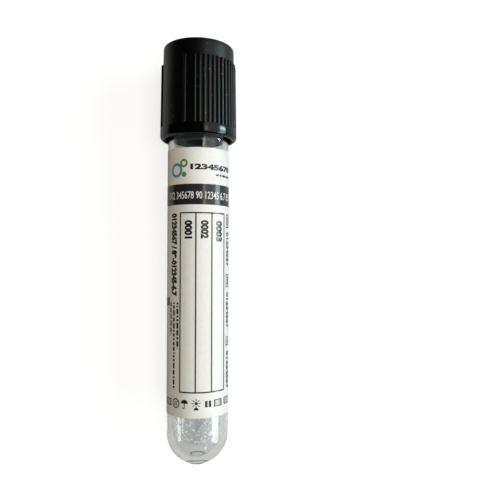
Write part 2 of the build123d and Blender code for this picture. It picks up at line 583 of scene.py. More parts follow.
@dataclass(frozen=True)
class LabelPaper:
    """Smooth half-gloss label paper with faint fibres.

    Attributes:
        name: Name of the material.
        colour: Colour of the paper.
        fibre: Colour of its lighter places.
        mottle_cells: Lighter places in a metre.
        roughness: Roughness of its skin.
        ior: Index of refraction.
        fibre_cells: Fibres in a metre.
        fibre_stretch: Factors on that number along X, Y and Z.
        fibre_depth: Height of the fibres.
    """

    name: str = "label_paper"
    colour: Colour = (0.9, 0.89, 0.845)
    fibre: Colour = (0.935, 0.928, 0.89)
    mottle_cells: float = 1400.0
    roughness: float = 0.52
    ior: float = 1.48
    fibre_cells: float = 2600.0
    fibre_stretch: Triple = (1.0, 0.4, 1.0)
    fibre_depth: float = 0.004

    def material(self) -> bpy.types.Material:
        """Make the Blender material.

        Returns:
            The new material.
        """
        sheet = NodeSheet(self.name)
        mottle = sheet.noise(self.mottle_cells, detail=5.0)
        fibres = sheet.noise(self.fibre_cells, stretch=self.fibre_stretch, detail=4.0)
        return sheet.finish(sheet.add(
            "ShaderNodeBsdfPrincipled",
            Base_Color=sheet.between(mottle, self.colour, self.fibre),
            Roughness=self.roughness,
            IOR=self.ior,
            Normal=sheet.bump(fibres, self.fibre_depth),
        ))


@dataclass(frozen=True)
class Ink:
    """Printed ink, a little uneven.

    Attributes:
        name: Name of the material.
        colour: Colour of the ink where it is thickest.
        roughness: Roughness of its skin.
        unevenness: How much lighter it is where it is thin, as a share.
        ior: Index of refraction.
        film_cells: Thin places in a metre.
        grain_cells: Grains in a metre.
        grain_depth: Height of the grain.
    """

    name: str
    colour: Colour
    roughness: float = 0.17
    unevenness: float = 0.18
    ior: float = 1.62
    film_cells: float = 1800.0
    grain_cells: float = 2600.0
    grain_depth: float = 0.002

    def material(self) -> bpy.types.Material:
        """Make the Blender material.

        Returns:
            The new material.
        """
        sheet = NodeSheet(self.name)
        thin = tuple(value * (1 + self.unevenness) for value in self.colour)
        film = sheet.noise(self.film_cells, detail=3.0)
        return sheet.finish(sheet.add(
            "ShaderNodeBsdfPrincipled",
            Base_Color=sheet.between(film, self.colour, thin),
            Roughness=self.roughness,
            IOR=self.ior,
            Normal=sheet.bump(sheet.noise(self.grain_cells, detail=2.0), self.grain_depth),
        ))


# ---- Tube and what it holds --------------------------------------------------------------


@dataclass(frozen=True)
class Bore:
    """The tube's inside: a cone that narrows toward a round floor.

    Attributes:
        mouth: Height of the mouth.
        mouth_r: Radius at the mouth.
        draft: Angle by which the cone narrows.
        floor: Height of the floor's lowest place, which is the thickness of the tip.
    """

    mouth: float
    mouth_r: float
    draft: float
    floor: float

    @property
    def dome_r(self) -> float:
        """Radius of the round floor.

        Returns:
            The radius at which the floor meets the cone without a step.
        """
        turn = math.radians(self.draft)
        reach = self.mouth_r - (self.mouth - self.floor) * math.tan(turn)
        return reach * math.cos(turn) / (1 - math.sin(turn))

    @property
    def dome_centre(self) -> float:
        """Height of the centre of the round floor."""
        return self.floor + self.dome_r

    def radius(self, height: float) -> float:
        """Radius of the bore at a height.

        Args:
            height: Height along the axis.

        Returns:
            The radius, 0 below the floor.
        """
        if height < self.dome_centre - self.dome_r * math.sin(math.radians(self.draft)):
            return math.sqrt(max(0.0, self.dome_r**2 - (self.dome_centre - height) ** 2))
        return self.mouth_r - (self.mouth - height) * math.tan(math.radians(self.draft))

    def profile(self, top: float, gap: float, steps: int) -> list[Point]:
        """Follow the bore from the axis up to a height.

        Args:
            top: Height of the last point.
            gap: Distance kept from the wall, negative to reach into it.
            steps: Number of chords along the round floor and along the cone.

        Returns:
            Radius and height of each point.
        """
        dome = arc((0.0, self.dome_centre), self.dome_r - gap, -90, -self.draft, steps)
        wall = [(self.radius(height) - gap, height) for height in spread(dome[-1][1], top, steps)]
        return dome + wall[1:]


@dataclass
class ClearTube:
    """Clear tube with a round bottom and the bead left by its mould's gate insert, with painted shade on
    the bead.

    Attributes:
        axis: The tube's axis.
        length: From the tip to the mouth.
        radius: Outside radius of the tube and of its round bottom.
        bore: Its inside.
        lip_round: Rounding of both edges of the mouth.
        gate_ring_r: Radius of the bead's ring.
        gate_bead_r: Radius of the bead itself.
        bead_shade_colour: Dark tint on the bead, which is painted shade where the wall looks darker.
        shade_reach: Width of the ring of painted shade to each side of the bead.
        shade_height: Height above the tip under which faces can take the painted shade.
        columns: Number of steps round the axis.
        tip_steps: Chords from the tip to the bead.
        bead_steps: Chords over the bead.
        dome_steps: Chords from the bead to the straight wall.
        wall_steps: Chords along the straight wall.
        lip_steps: Chords round each edge of the mouth.
        bore_steps: Chords along each part of the bore.
    """

    axis: TubeAxis
    length: float
    radius: float
    bore: Bore
    lip_round: float = 0.3
    gate_ring_r: float = 1.85
    gate_bead_r: float = 0.11
    bead_shade_colour: Colour = (0.08, 0.1, 0.12)
    shade_reach: float = 0.28
    shade_height: float = 0.625
    columns: int = 224
    tip_steps: int = 8
    bead_steps: int = 12
    dome_steps: int = 40
    wall_steps: int = 24
    lip_steps: int = 6
    bore_steps: int = 36

    @property
    def lip(self) -> float:
        """Height at which the rounding of the mouth starts."""
        return self.length - self.lip_round

    def outside(self) -> list[Point]:
        """Follow the outside from the tip to the top of the lip.

        Returns:
            Radius and height of each point.
        """
        centre = math.degrees(math.asin(self.gate_ring_r / self.radius)) - 90
        half = math.degrees(self.gate_bead_r / self.radius)
        angles = spread(-90, centre - half, self.tip_steps)
        angles += spread(centre - half, centre + half, self.bead_steps)[1:]
        angles += spread(centre + half, 0, self.dome_steps)[1:]
        points = []
        for angle in angles:
            off = (angle - centre) / half
            bead = self.gate_bead_r * math.sqrt(1 - off * off) if abs(off) < 1 else 0.0
            turn = math.radians(angle)
            reach = self.radius + bead
            points.append((reach * math.cos(turn), self.radius + reach * math.sin(turn)))
        wall = spread(self.radius, self.lip, self.wall_steps)[1:-1]
        points += [(self.radius, height) for height in wall]
        corner = (self.radius - self.lip_round, self.lip)
        return points + arc(corner, self.lip_round, 0, 90, self.lip_steps)

    def paint_bead_shade(self, piece: bpy.types.Object) -> None:
        """Give the faces over the gate's bead the second material, whose dark tint is painted shade.

        Args:
            piece: The tube.
        """
        tip = self.axis.place(0, 0, 0)
        for face in piece.data.polygons:
            height = (face.center - tip).dot(self.axis.along)
            off_axis = (face.center - tip - self.axis.along * height).length
            on_bead = abs(off_axis - self.gate_ring_r * MM) < self.shade_reach * MM
            face.material_index = int(on_bead and height < self.shade_height * MM)

    def build(self, finish: ClearPlastic) -> bpy.types.Object:
        """Turn the wall of the tube.

        Args:
            finish: Finish of the plastic.

        Returns:
            The tube.
        """
        corner = (self.bore.mouth_r + self.lip_round, self.lip)
        inner_lip = arc(corner, self.lip_round, 90, 180, self.lip_steps)
        inside = self.bore.profile(self.lip, 0.0, self.bore_steps)
        profile = self.outside() + inner_lip + inside[-2::-1]
        piece = make_object("clear_tube", turned_shape(self.axis, profile, self.columns))
        # The bead's material is the clear plastic with a dark tint: painted shade.
        painted_bead_shade = replace(finish, name="gate_bead_painted_shade", colour=self.bead_shade_colour)
        piece.data.materials.append(finish.material())
        piece.data.materials.append(painted_bead_shade.material())
        self.paint_bead_shade(piece)
        dress(piece, "tube", "clear_plastic", "tube")
        return piece


@dataclass
class Additive:
    """Clear solution that lies along the underside of the bore, with drops and bubbles above it.

    Attributes:
        axis: The tube's axis.
        bore: The bore that holds the solution.
        top: Height at which the solution ends under the stopper.
        level: Height of its surface above the floor, in metres.
        wetting: How far it reaches into the wall, so that no air shows between them.
        pool_steps: Chords along each part of the bore under the solution.
        pool_columns: Number of steps of the solution round the axis.
        bubble_count: Number of bubbles along the edge of the pool near the round bottom.
        bubble_sizes: Smallest and largest radius of a bubble.
        bubble_rows: Mean and scatter of the heights in each group of bubbles.
        bubble_sides: Lowest, highest and commonest place across the pool, from -1 to 1.
        bubble_rise: How far a bubble's middle is above the level, in its own radii.
        bubble_spacing: Least distance of two bubbles, as a share of their two radii.
        bubble_inset: Distance of the bubbles' edge from the wall.
        drop_count: Number of drops on the upper wall.
        drop_heights: Lowest and highest drop.
        drop_meridians: Mean and scatter of the drops' meridians.
        drop_sizes: Smallest and largest radius of a drop.
        drop_form: Factors on that radius along the drop, across it and off the wall.
        runs: Long drops on the wall: meridian, height, half length and half width.
        run_thickness: How far the long drops stand off the wall.
        bead_columns: Number of steps round a drop or bubble.
        bead_rows: Number of steps from pole to pole.
        seed: Start of the random draws.
    """

    axis: TubeAxis
    bore: Bore
    top: float
    level: float
    wetting: float = 0.012
    pool_steps: int = 32
    pool_columns: int = 160
    bubble_count: int = 46
    bubble_sizes: Pair = (0.10, 0.30)
    bubble_rows: tuple[Pair, ...] = ((5.4, 0.7), (3.7, 0.35), (8.2, 1.2))
    bubble_sides: Triple = (-0.4, 1.0, 0.95)
    bubble_rise: float = 0.25
    bubble_spacing: float = 0.92
    bubble_inset: float = 0.05
    drop_count: int = 30
    drop_heights: Pair = (6.0, 10.2)
    drop_meridians: Pair = (-22.0, 16.0)
    drop_sizes: Pair = (0.08, 0.26)
    drop_form: Triple = (1.0, 1.15, 0.5)
    runs: tuple[tuple[float, float, float, float], ...] = (
        (-52, 8.3, 1.6, 0.5), (33, 7.1, 0.5, 0.4), (40, 5.8, 0.4, 0.36), (24, 4.4, 0.3, 0.25),
    )
    run_thickness: float = 0.12
    bead_columns: int = 20
    bead_rows: int = 12
    seed: int = 11

    def pool(self) -> bmesh.types.BMesh:
        """Fill the bore up to the level of the solution.

        Returns:
            The closed skin of the solution.
        """
        profile = self.bore.profile(self.top, -self.wetting, self.pool_steps) + [(0.0, self.top)]
        shape = turned_shape(self.axis, profile, self.pool_columns)
        bmesh.ops.remove_doubles(shape, verts=shape.verts, dist=JOIN)
        parts = [*shape.verts, *shape.edges, *shape.faces]
        level = Vector((0.0, 0.0, self.level))
        cut = bmesh.ops.bisect_plane(
            shape, geom=parts, plane_co=level, plane_no=(0, 0, 1), clear_outer=True
        )
        rim = [edge for edge in cut["geom_cut"] if isinstance(edge, bmesh.types.BMEdge)]
        bmesh.ops.contextual_create(shape, geom=rim)
        return shape

    def bead(self, shape: bmesh.types.BMesh, centre: Vector, size: Vector, outward: Vector) -> None:
        """Add one drop or bubble.

        Args:
            shape: Mesh that takes it.
            centre: Its middle, in metres.
            size: Its three radii, in metres, the last one along outward.
            outward: Direction of its third radius.
        """
        turn = outward.to_track_quat("Z", "Y").to_matrix().to_4x4()
        place = Matrix.Translation(centre) @ turn @ Matrix.Diagonal((*size, 1.0))
        columns, rows = self.bead_columns, self.bead_rows
        bmesh.ops.create_uvsphere(shape, u_segments=columns, v_segments=rows, radius=1.0, matrix=place)

    def bead_on_wall(self, shape: bmesh.types.BMesh, height: float, meridian: float, size: Vector) -> None:
        """Add one drop on the wall of the bore.

        Args:
            shape: Mesh that takes it.
            height: Height of its middle.
            meridian: Meridian of its middle.
            size: Its three radii, in metres, the last one off the wall.
        """
        centre = self.axis.place(self.bore.radius(height), height, meridian)
        self.bead(shape, centre, size, self.axis.place(0, height, meridian) - centre)

    def foam(self) -> bmesh.types.BMesh:
        """Scatter bubbles along the edge of the pool, near the round bottom.

        Returns:
            The bubbles, as closed skins in one mesh.
        """
        draw = random.Random(self.seed)
        shape = bmesh.new()
        taken: list[tuple[Vector, float]] = []
        while len(taken) < self.bubble_count:
            size = draw.uniform(*self.bubble_sizes) * MM
            height = draw.choice([draw.gauss(*row) for row in self.bubble_rows])
            reach = (self.bore.radius(height) - self.bubble_inset) * MM
            on_axis = self.axis.place(0, height, 0)
            drop = on_axis.z - self.level
            if reach <= abs(drop) + size:
                continue
            sideways = draw.triangular(*self.bubble_sides) * (math.sqrt(reach**2 - drop**2) - size)
            centre = Vector((on_axis.x + sideways, on_axis.y, self.level + size * self.bubble_rise))
            nearest = ((centre - other).length / (size + radius) for other, radius in taken)
            if any(distance < self.bubble_spacing for distance in nearest):
                continue
            taken.append((centre, size))
            self.bead(shape, centre, Vector((size, size, size)), Vector((0, 0, 1)))
        return shape

    def drops(self) -> bmesh.types.BMesh:
        """Leave drops on the upper wall of the bore, near the round bottom.

        Returns:
            The drops, as closed skins in one mesh.
        """
        draw = random.Random(self.seed + 1)
        shape = bmesh.new()
        for _ in range(self.drop_count):
            height = draw.uniform(*self.drop_heights)
            meridian = draw.gauss(*self.drop_meridians)
            size = draw.uniform(*self.drop_sizes) * MM
            self.bead_on_wall(shape, height, meridian, Vector(self.drop_form) * size)
        for meridian, height, half_length, half_width in self.runs:
            size = Vector((half_length, half_width, self.run_thickness)) * MM
            self.bead_on_wall(shape, height, meridian, size)
        return shape

    def build(self, finish: Water, painted_glint: PaintedGlint) -> list[bpy.types.Object]:
        """Make the pool, the foam and the drops.

        Args:
            finish: Finish of the solution.
            painted_glint: Finish of its drops and bubbles, white as a painted highlight.

        Returns:
            The three pieces.
        """
        # The drops and bubbles are painted white: a painted highlight on clear water.
        clear, white = finish.material(), painted_glint.material()
        pieces = [
            make_object("solution_pool", self.pool()),
            make_object("solution_foam", self.foam(), crease=180),
            make_object("solution_drops", self.drops(), crease=180),
        ]
        for piece, material, nodes in zip(pieces, (clear, white, white), (("citrate_solution",), (), ())):
            piece.data.materials.append(material)
            dress(piece, "tube", "clear_liquid", *nodes)
        return pieces


# ---- Closure -----------------------------------------------------------------------------


@dataclass
class Stopper:
    """Rubber stopper: plug, flange, waist and head, hollow at both ends.

    Attributes:
        axis: The tube's axis.
        bore: The bore that the plug closes.
        plug_length: Length of the plug below the mouth.
        plug_clearance: Gap between the plug and the bore.
        plug_round: Rounding of the plug's lower edge.
        recess_r: Radius of the hollow in the plug.
        septum: Rubber left between the two hollows.
        seat_gap: Gap between the flange and the mouth.
        flange_r: Radius of the flange.
        flange_thickness: Its thickness.
        lock_gap: Gap on each side of the ring that holds the waist.
        ring_thickness: Thickness of that ring.
        neck_r: Radius of the waist.
        head_r: Radius of the head.
        head_height: Its height.
        head_round: Rounding of its upper edges.
        well_r: Radius of the needle well in the head.
        well_depth: Its depth.
        edge_round: Rounding of the other edges.
        edge_steps: Chords round each of these.
        plug_steps: Chords round the plug's lower edge.
        head_steps: Chords round each upper edge of the head.
        columns: Number of steps round the axis.
    """

    axis: TubeAxis
    bore: Bore
    plug_length: float = 9.0
    plug_clearance: float = 0.04
    plug_round: float = 0.6
    recess_r: float = 2.6
    septum: float = 4.6
    seat_gap: float = 0.02
    flange_r: float = 6.55
    flange_thickness: float = 2.4
    lock_gap: float = 0.05
    ring_thickness: float = 1.4
    neck_r: float = 4.95
    head_r: float = 5.85
    head_height: float = 4.55
    head_round: float = 0.5
    well_r: float = 3.2
    well_depth: float = 4.6
    edge_round: float = 0.15
    edge_steps: int = 4
    plug_steps: int = 10
    head_steps: int = 6
    columns: int = 144

    @property
    def head_top(self) -> float:
        """Height of the top of the head."""
        neck = self.ring_thickness + 2 * self.lock_gap
        return self.bore.mouth + self.seat_gap + self.flange_thickness + neck + self.head_height

    def profile(self) -> list[Point]:
        """Follow the stopper from the floor of its lower hollow to that of its needle well.

        Returns:
            Radius and height of each point.
        """
        bottom = self.bore.mouth - self.plug_length
        flange = self.bore.mouth + self.seat_gap
        flange_top = flange + self.flange_thickness
        head_low = self.head_top - self.head_height
        well_low = self.head_top - self.well_depth
        recess_top = well_low - self.septum
        plug_r = self.bore.radius(bottom) - self.plug_clearance
        mouth_r = self.bore.radius(self.bore.mouth) - self.plug_clearance
        edge, steps = self.edge_round, self.edge_steps
        round_low, round_top = bottom + self.plug_round, self.head_top - self.head_round
        points = [(0.0, recess_top), (self.recess_r - edge, recess_top)]
        points += arc((self.recess_r + edge, bottom + edge), edge, 180, 270, steps)
        points += arc((plug_r - self.plug_round, round_low), self.plug_round, -90, 0, self.plug_steps)
        points += [(mouth_r, self.bore.mouth), (mouth_r, flange)]
        points += arc((self.flange_r - edge, flange + edge), edge, -90, 0, steps)
        points += arc((self.flange_r - edge, flange_top - edge), edge, 0, 90, steps)
        points += [(self.neck_r, flange_top), (self.neck_r, head_low)]
        points += arc((self.head_r - edge, head_low + edge), edge, -90, 0, steps)
        points += arc((self.head_r - self.head_round, round_top), self.head_round, 0, 90, self.head_steps)
        points += arc((self.well_r + self.head_round, round_top), self.head_round, 90, 180, self.head_steps)
        return points + [(self.well_r, well_low), (0.0, well_low)]

    def build(self, finish: DarkRubber) -> bpy.types.Object:
        """Turn the stopper.

        Args:
            finish: Finish of the rubber.

        Returns:
            The stopper.
        """
        piece = make_object("rubber_stopper", turned_shape(self.axis, self.profile(), self.columns))
        piece.data.materials.append(finish.material())
        dress(piece, "closure", "stopper_rubber", "stopper")
        return piece


@dataclass(frozen=True)
class Column:
    """One line of points up the closure.

    Attributes:
        meridian: Meridian of the rib's middle, or of the column itself.
        offset: Distance from the rib's middle along the round.
        on_rib: Whether the column belongs to a rib.
    """

    meridian: float
    offset: float
    on_rib: bool


@dataclass
class ClosureShell:
    """Black shell: ribbed skirt with a smooth rim, holding ring and top plate with the needle hole.

    Attributes:
        axis: The tube's axis.
        mouth: Height of the tube's mouth.
        head_top: Height of the top of the stopper's head.
        skirt_overlap: Reach of the skirt below the mouth.
        chamber_r: Inside radius round the stopper's flange.
        wall: Wall of the shell at its top.
        draft: Angle by which the outside widens toward the rim.
        flare: How much the skirt's inside widens toward the rim.
        flare_height: Height above the rim over which it widens.
        ring_low: Height of the holding ring above the mouth.
        ring_thickness: Thickness of the ring.
        ring_r: Radius inside the ring.
        pocket_r: Radius inside the pocket of the head.
        head_gap: Gap between the head and the plate.
        plate_thickness: Thickness of the top plate.
        needle_hole_r: Radius of the hole in the plate.
        hole_chamfer: Chamfer of the hole's upper edge.
        top_round: Rounding of the top's edge.
        top_start: Direction in which that rounding starts.
        rim_height: Height of the smooth rim.
        rim_lip: How far the rim stands out beyond the shell.
        rim_round: Rounding of the rim's lower edge.
        rim_inner_round: Rounding of its inner edge.
        rim_edge: Rounding of its upper edge.
        rib_height: How far a rib stands out.
        rib_width: Width of a rib.
        rib_round: Rounding of its edges.
        rib_top_margin: Height of the smooth band above the ribs.
        rib_pitch: Angle from one rib to the next.
        ribs_in_row: Number of close ribs in each of the two rows.
        outrider_step: Angle from the end of a row to the single rib beyond it.
        first_row_middle: Meridian of the middle of one row; the other is opposite.
        flank: Width of the foot of a rib.
        panel_step: Greatest angle between two columns of points on the smooth panels.
        rounding: Angles of the points on a rib's rounding.
        rib_rows: Steps up the straight part of the ribs.
        band_rows: Steps up the smooth band.
        wide_steps: Chords round the rim's lower edge.
        top_steps: Chords round the top's edge.
        edge_steps: Chords round the small edges.
    """

    axis: TubeAxis
    mouth: float
    head_top: float
    skirt_overlap: float = 8.7
    chamber_r: float = 6.75
    wall: float = 0.55
    draft: float = 0.7
    flare: float = 0.2
    flare_height: float = 4.2
    ring_low: float = 2.47
    ring_thickness: float = 1.4
    ring_r: float = 5.05
    pocket_r: float = 5.95
    head_gap: float = 0.3
    plate_thickness: float = 1.78
    needle_hole_r: float = 4.0
    hole_chamfer: float = 0.3
    top_round: float = 0.4
    top_start: float = 8.0
    rim_height: float = 2.3
    rim_lip: float = 0.42
    rim_round: float = 0.8
    rim_inner_round: float = 0.2
    rim_edge: float = 0.07
    rib_height: float = 0.4
    rib_width: float = 0.62
    rib_round: float = 0.24
    rib_top_margin: float = 3.38
    rib_pitch: float = 7.4
    ribs_in_row: int = 12
    outrider_step: float = 15.5
    first_row_middle: float = 39.4
    flank: float = 0.03
    panel_step: float = 2.5
    rounding: tuple[float, ...] = (90, 65, 42, 20, 0)
    rib_rows: int = 8
    band_rows: int = 4
    wide_steps: int = 10
    top_steps: int = 7
    edge_steps: int = 4

    @property
    def top(self) -> float:
        """Height of the closure's top."""
        return self.head_top + self.head_gap + self.plate_thickness

    @property
    def rim_low(self) -> float:
        """Height of the rim's lower edge."""
        return self.mouth - self.skirt_overlap

    @property
    def rim_top(self) -> float:
        """Height of the smooth rim's upper edge."""
        return self.rim_low + self.rim_height

    @property
    def rib_top(self) -> float:
        """Height at which the ribs end."""
        return self.top - self.rib_top_margin

    def shell_r(self, height: float) -> float:
        """Radius of the outside between the ribs."""
        return self.chamber_r + self.wall + (self.top - height) * math.tan(math.radians(self.draft))

    def rib_rise(self, height: float, offset: float) -> float:
        """How far a rib stands out at a place.

        Args:
            height: Height of the place.
            offset: Distance from the rib's middle along the round.

        Returns:
            The rise above the shell, 0 off the rib.
        """
        past_side = max(0.0, abs(offset) - self.rib_width / 2 + self.rib_round)
        past_end = max(0.0, height - self.rib_top + self.rib_round)
        past = math.hypot(past_side, past_end)
        if past > self.rib_round + JOIN / MM:
            return 0.0
        return self.rib_height - self.rib_round + math.sqrt(max(0.0, self.rib_round**2 - past**2))

    def rounded_steps(self) -> list[float]:
        """Distances from a rib's edge that follow its rounding."""
        return [self.rib_round * (1 - math.sin(math.radians(turn))) for turn in self.rounding]

    def columns(self) -> Iterator[Column]:
        """Go once round the closure, close together on the ribs and wider on the smooth panels.

        Yields:
            The columns, in order of their meridians.
        """
        half = self.rib_pitch * (self.ribs_in_row - 1) / 2
        row = [self.rib_pitch * rib - half for rib in range(self.ribs_in_row)]
        sides = [-half - self.outrider_step, *row, half + self.outrider_step]
        middles = (self.first_row_middle, self.first_row_middle + 180)
        ribs = [middle + side for middle in middles for side in sides]
        edge = self.rib_width / 2
        outer = [edge + self.flank] + [edge - step for step in self.rounded_steps()]
        offsets = [-offset for offset in outer] + [0.0] + outer[::-1]
        rib_half = math.degrees(outer[0] / self.shell_r(self.rim_top))
        for rib, following in zip(ribs, ribs[1:] + [ribs[0] + 360]):
            for offset in offsets:
                yield Column(rib, offset, True)
            start, end = rib + rib_half, following - rib_half
            steps = max(2, round((end - start) / self.panel_step))
            for meridian in spread(start, end, steps)[1:-1]:
                yield Column(meridian, 0.0, False)

    def shell_heights(self) -> list[float]:
        """Heights of the rows up the ribbed outside, close together where the ribs end.

        Returns:
            The heights, from the rim to the rounding of the top.
        """
        ends = [self.rib_top - step for step in self.rounded_steps()[::-1]]
        heights = spread(self.rim_top, ends[0], self.rib_rows) + ends[1:] + [self.rib_top + self.flank]
        return heights + spread(heights[-1], self.top - self.top_round, self.band_rows)[1:]

    def rim_profile(self) -> list[Point]:
        """Follow the smooth rim from its lower edge to its upper edge.

        Returns:
            Radius and height of each point.
        """
        rim_r = self.shell_r(self.rim_top) + self.rim_lip
        wide, edge = self.rim_round, self.rim_edge
        points = arc((rim_r - wide, self.rim_low + wide), wide, -90, 0, self.wide_steps)
        return points + arc((rim_r - edge, self.rim_top - edge), edge, 0, 90, self.edge_steps)

    def inner_profile(self) -> list[Point]:
        """Follow the top and the inside, from the top's rounded edge down to the rim.

        Returns:
            Radius and height of each point.
        """
        top_r = self.shell_r(self.top)
        hole, low = self.needle_hole_r, self.rim_low
        ring = self.mouth + self.ring_low
        skirt_r = self.chamber_r + self.flare
        outer, inner = self.top_round, self.rim_inner_round
        points = arc((top_r - outer, self.top - outer), outer, self.top_start, 90, self.top_steps)
        points += [(hole + self.hole_chamfer, self.top), (hole, self.top - self.hole_chamfer)]
        points += [(hole, self.head_top + self.head_gap), (self.pocket_r, self.head_top + self.head_gap)]
        points += [(self.pocket_r, ring + self.ring_thickness), (self.ring_r, ring + self.ring_thickness)]
        points += [(self.ring_r, ring), (self.chamber_r, ring), (self.chamber_r, low + self.flare_height)]
        return points + arc((skirt_r + inner, low + inner), inner, 180, 270, self.edge_steps)

    def build(self, shell_finish: BlackPlastic, rim_finish: BlackPlastic) -> bpy.types.Object:
        """Wrap the rows of the shell round the axis.

        Args:
            shell_finish: Finish of the grained shell.
            rim_finish: Finish of the smoother rim.

        Returns:
            The closure's shell.
        """
        columns = list(self.columns())

        def row(radius: float, height: float, ribbed: bool) -> list[Vector]:
            """Lay one row of points round the axis.

            Args:
                radius: Radius between the ribs.
                height: Height of the row.
                ribbed: Whether the ribs stand out of it.

            Returns:
                The points.
            """
            points = []
            for column in columns:
                turn = math.degrees(column.offset / self.shell_r(height))
                rise = self.rib_rise(height, column.offset) if ribbed and column.on_rib else 0.0
                points.append(self.axis.place(radius + rise, height, column.meridian + turn))
            return points

        rim = [row(radius, height, False) for radius, height in self.rim_profile()]
        outside = [row(self.shell_r(height), height, True) for height in self.shell_heights()]
        inside = [row(radius, height, False) for radius, height in self.inner_profile()]
        shape = grid_shape(rim + outside + inside, around=True, through=True)
        shape.faces.ensure_lookup_table()
        for face in shape.faces[: (len(rim) - 1) * len(columns)]:
            face.material_index = 1
        piece = make_object("closure_shell", shape)
        piece.data.materials.append(shell_finish.material())
        piece.data.materials.append(rim_finish.material())
        dress(piece, "closure", "cap_plastic", "cap")
        return piece


# ---- Label and print ---------------------------------------------------------------------


@dataclass
class PaperLabel:
    """Paper sheet wrapped round the tube, short of closing, with rounded corners.

    Attributes:
        axis: The tube's axis.
        tube_r: Outside radius of the tube.
        gap: Adhesive between the tube and the paper.
        thickness: Thickness of the paper.
        bottom: Height of its lower edge.
        top: Height of its upper edge.
        right: Meridian of its right edge.
        strip_width: Clear strip between its two edges.
        corner_r: Radius of its corners.
        corner_step: Angle between two columns of points in a corner.
        columns: Steps from the left corners to the right ones.
        rows: Steps from the lower edge to the upper one.
    """

    axis: TubeAxis
    tube_r: float
    gap: float = 0.03
    thickness: float = 0.07
    bottom: float = 10.6
    top: float = 63.85
    right: float = 108.0
    strip_width: float = 4.9
    corner_r: float = 1.6
    corner_step: int = 10
    columns: int = 170
    rows: int = 10

    @property
    def outer_r(self) -> float:
        """Radius of the printed side."""
        return self.tube_r + self.gap + self.thickness

    @property
    def left(self) -> float:
        """Meridian of the left edge."""
        return self.right - 360 + math.degrees(self.strip_width / self.outer_r)

    def across(self, meridian: float) -> float:
        """Distance round the printed side from meridian 0."""
        return math.radians(meridian) * self.outer_r

    def meridian(self, across: float) -> float:
        """Meridian of a distance round the printed side."""
        return math.degrees(across / self.outer_r)

    def wrap(self, across: float, height: float, lift: float) -> Vector:
        """Put a place of the flat label on the round one.

        Args:
            across: Distance round the printed side from meridian 0.
            height: Height along the axis.
            lift: Distance above the printed side.

        Returns:
            The point in metres.
        """
        return self.axis.place(self.outer_r + lift, height, self.meridian(across))

    def build(self, finish: LabelPaper) -> bpy.types.Object:
        """Wrap the sheet.

        Args:
            finish: Finish of the paper.

        Returns:
            The label.
        """
        left, right = self.across(self.left), self.across(self.right)
        turns = [math.radians(turn) for turn in range(0, 90, self.corner_step)]
        corner = [self.corner_r * (1 - math.cos(turn)) for turn in turns]
        inner = spread(left + self.corner_r, right - self.corner_r, self.columns)
        places = [left + inset for inset in corner] + inner + [right - inset for inset in corner[::-1]]
        grid = []
        for across in places:
            inset = min(self.corner_r, across - left, right - across)
            cut = self.corner_r - math.sqrt(max(0.0, self.corner_r**2 - (self.corner_r - inset) ** 2))
            heights = spread(self.bottom + cut, self.top - cut, self.rows)
            outer = [self.wrap(across, height, 0.0) for height in heights]
            grid.append(outer + [self.wrap(across, height, -self.thickness) for height in heights[::-1]])
        shape = grid_shape(grid, around=True, through=False)
        shape.verts.ensure_lookup_table()
        width = len(grid[0])
        shape.faces.new(shape.verts[:width])
        shape.faces.new(shape.verts[-width:])
        piece = make_object("paper_label", shape)
        piece.data.materials.append(finish.material())
        dress(piece, "tube", "label_paper", "label")
        return piece


class Reading(Enum):
    """Direction in which a line of figures runs on the label."""

    ACROSS = "across"
    DOWN = "down"


@dataclass(frozen=True)
class FigureLine:
    """One line of figures on the label.

    Attributes:
        text: The figures.
        meridian: Lowest meridian of the line.
        height: Lower edge of a line that runs across, upper end of one that runs down.
        reach: Length of the line: degrees where it runs across, millimetres where it runs down.
        size: Height of the figures.
        reading: Direction in which the line runs.
        weight: How much bolder than plain the figures are.
    """

    text: str
    meridian: float
    height: float
    reach: float
    size: float
    reading: Reading
    weight: float


@dataclass(frozen=True)
class Ring:
    """One ring of the plain mark beside the serial number, or a disc where inner is 0.

    Attributes:
        meridian: Meridian of its middle.
        height: Height of its middle.
        outer: Its outside radius.
        inner: Its inside radius.
    """

    meridian: float
    height: float
    outer: float
    inner: float = 0.0


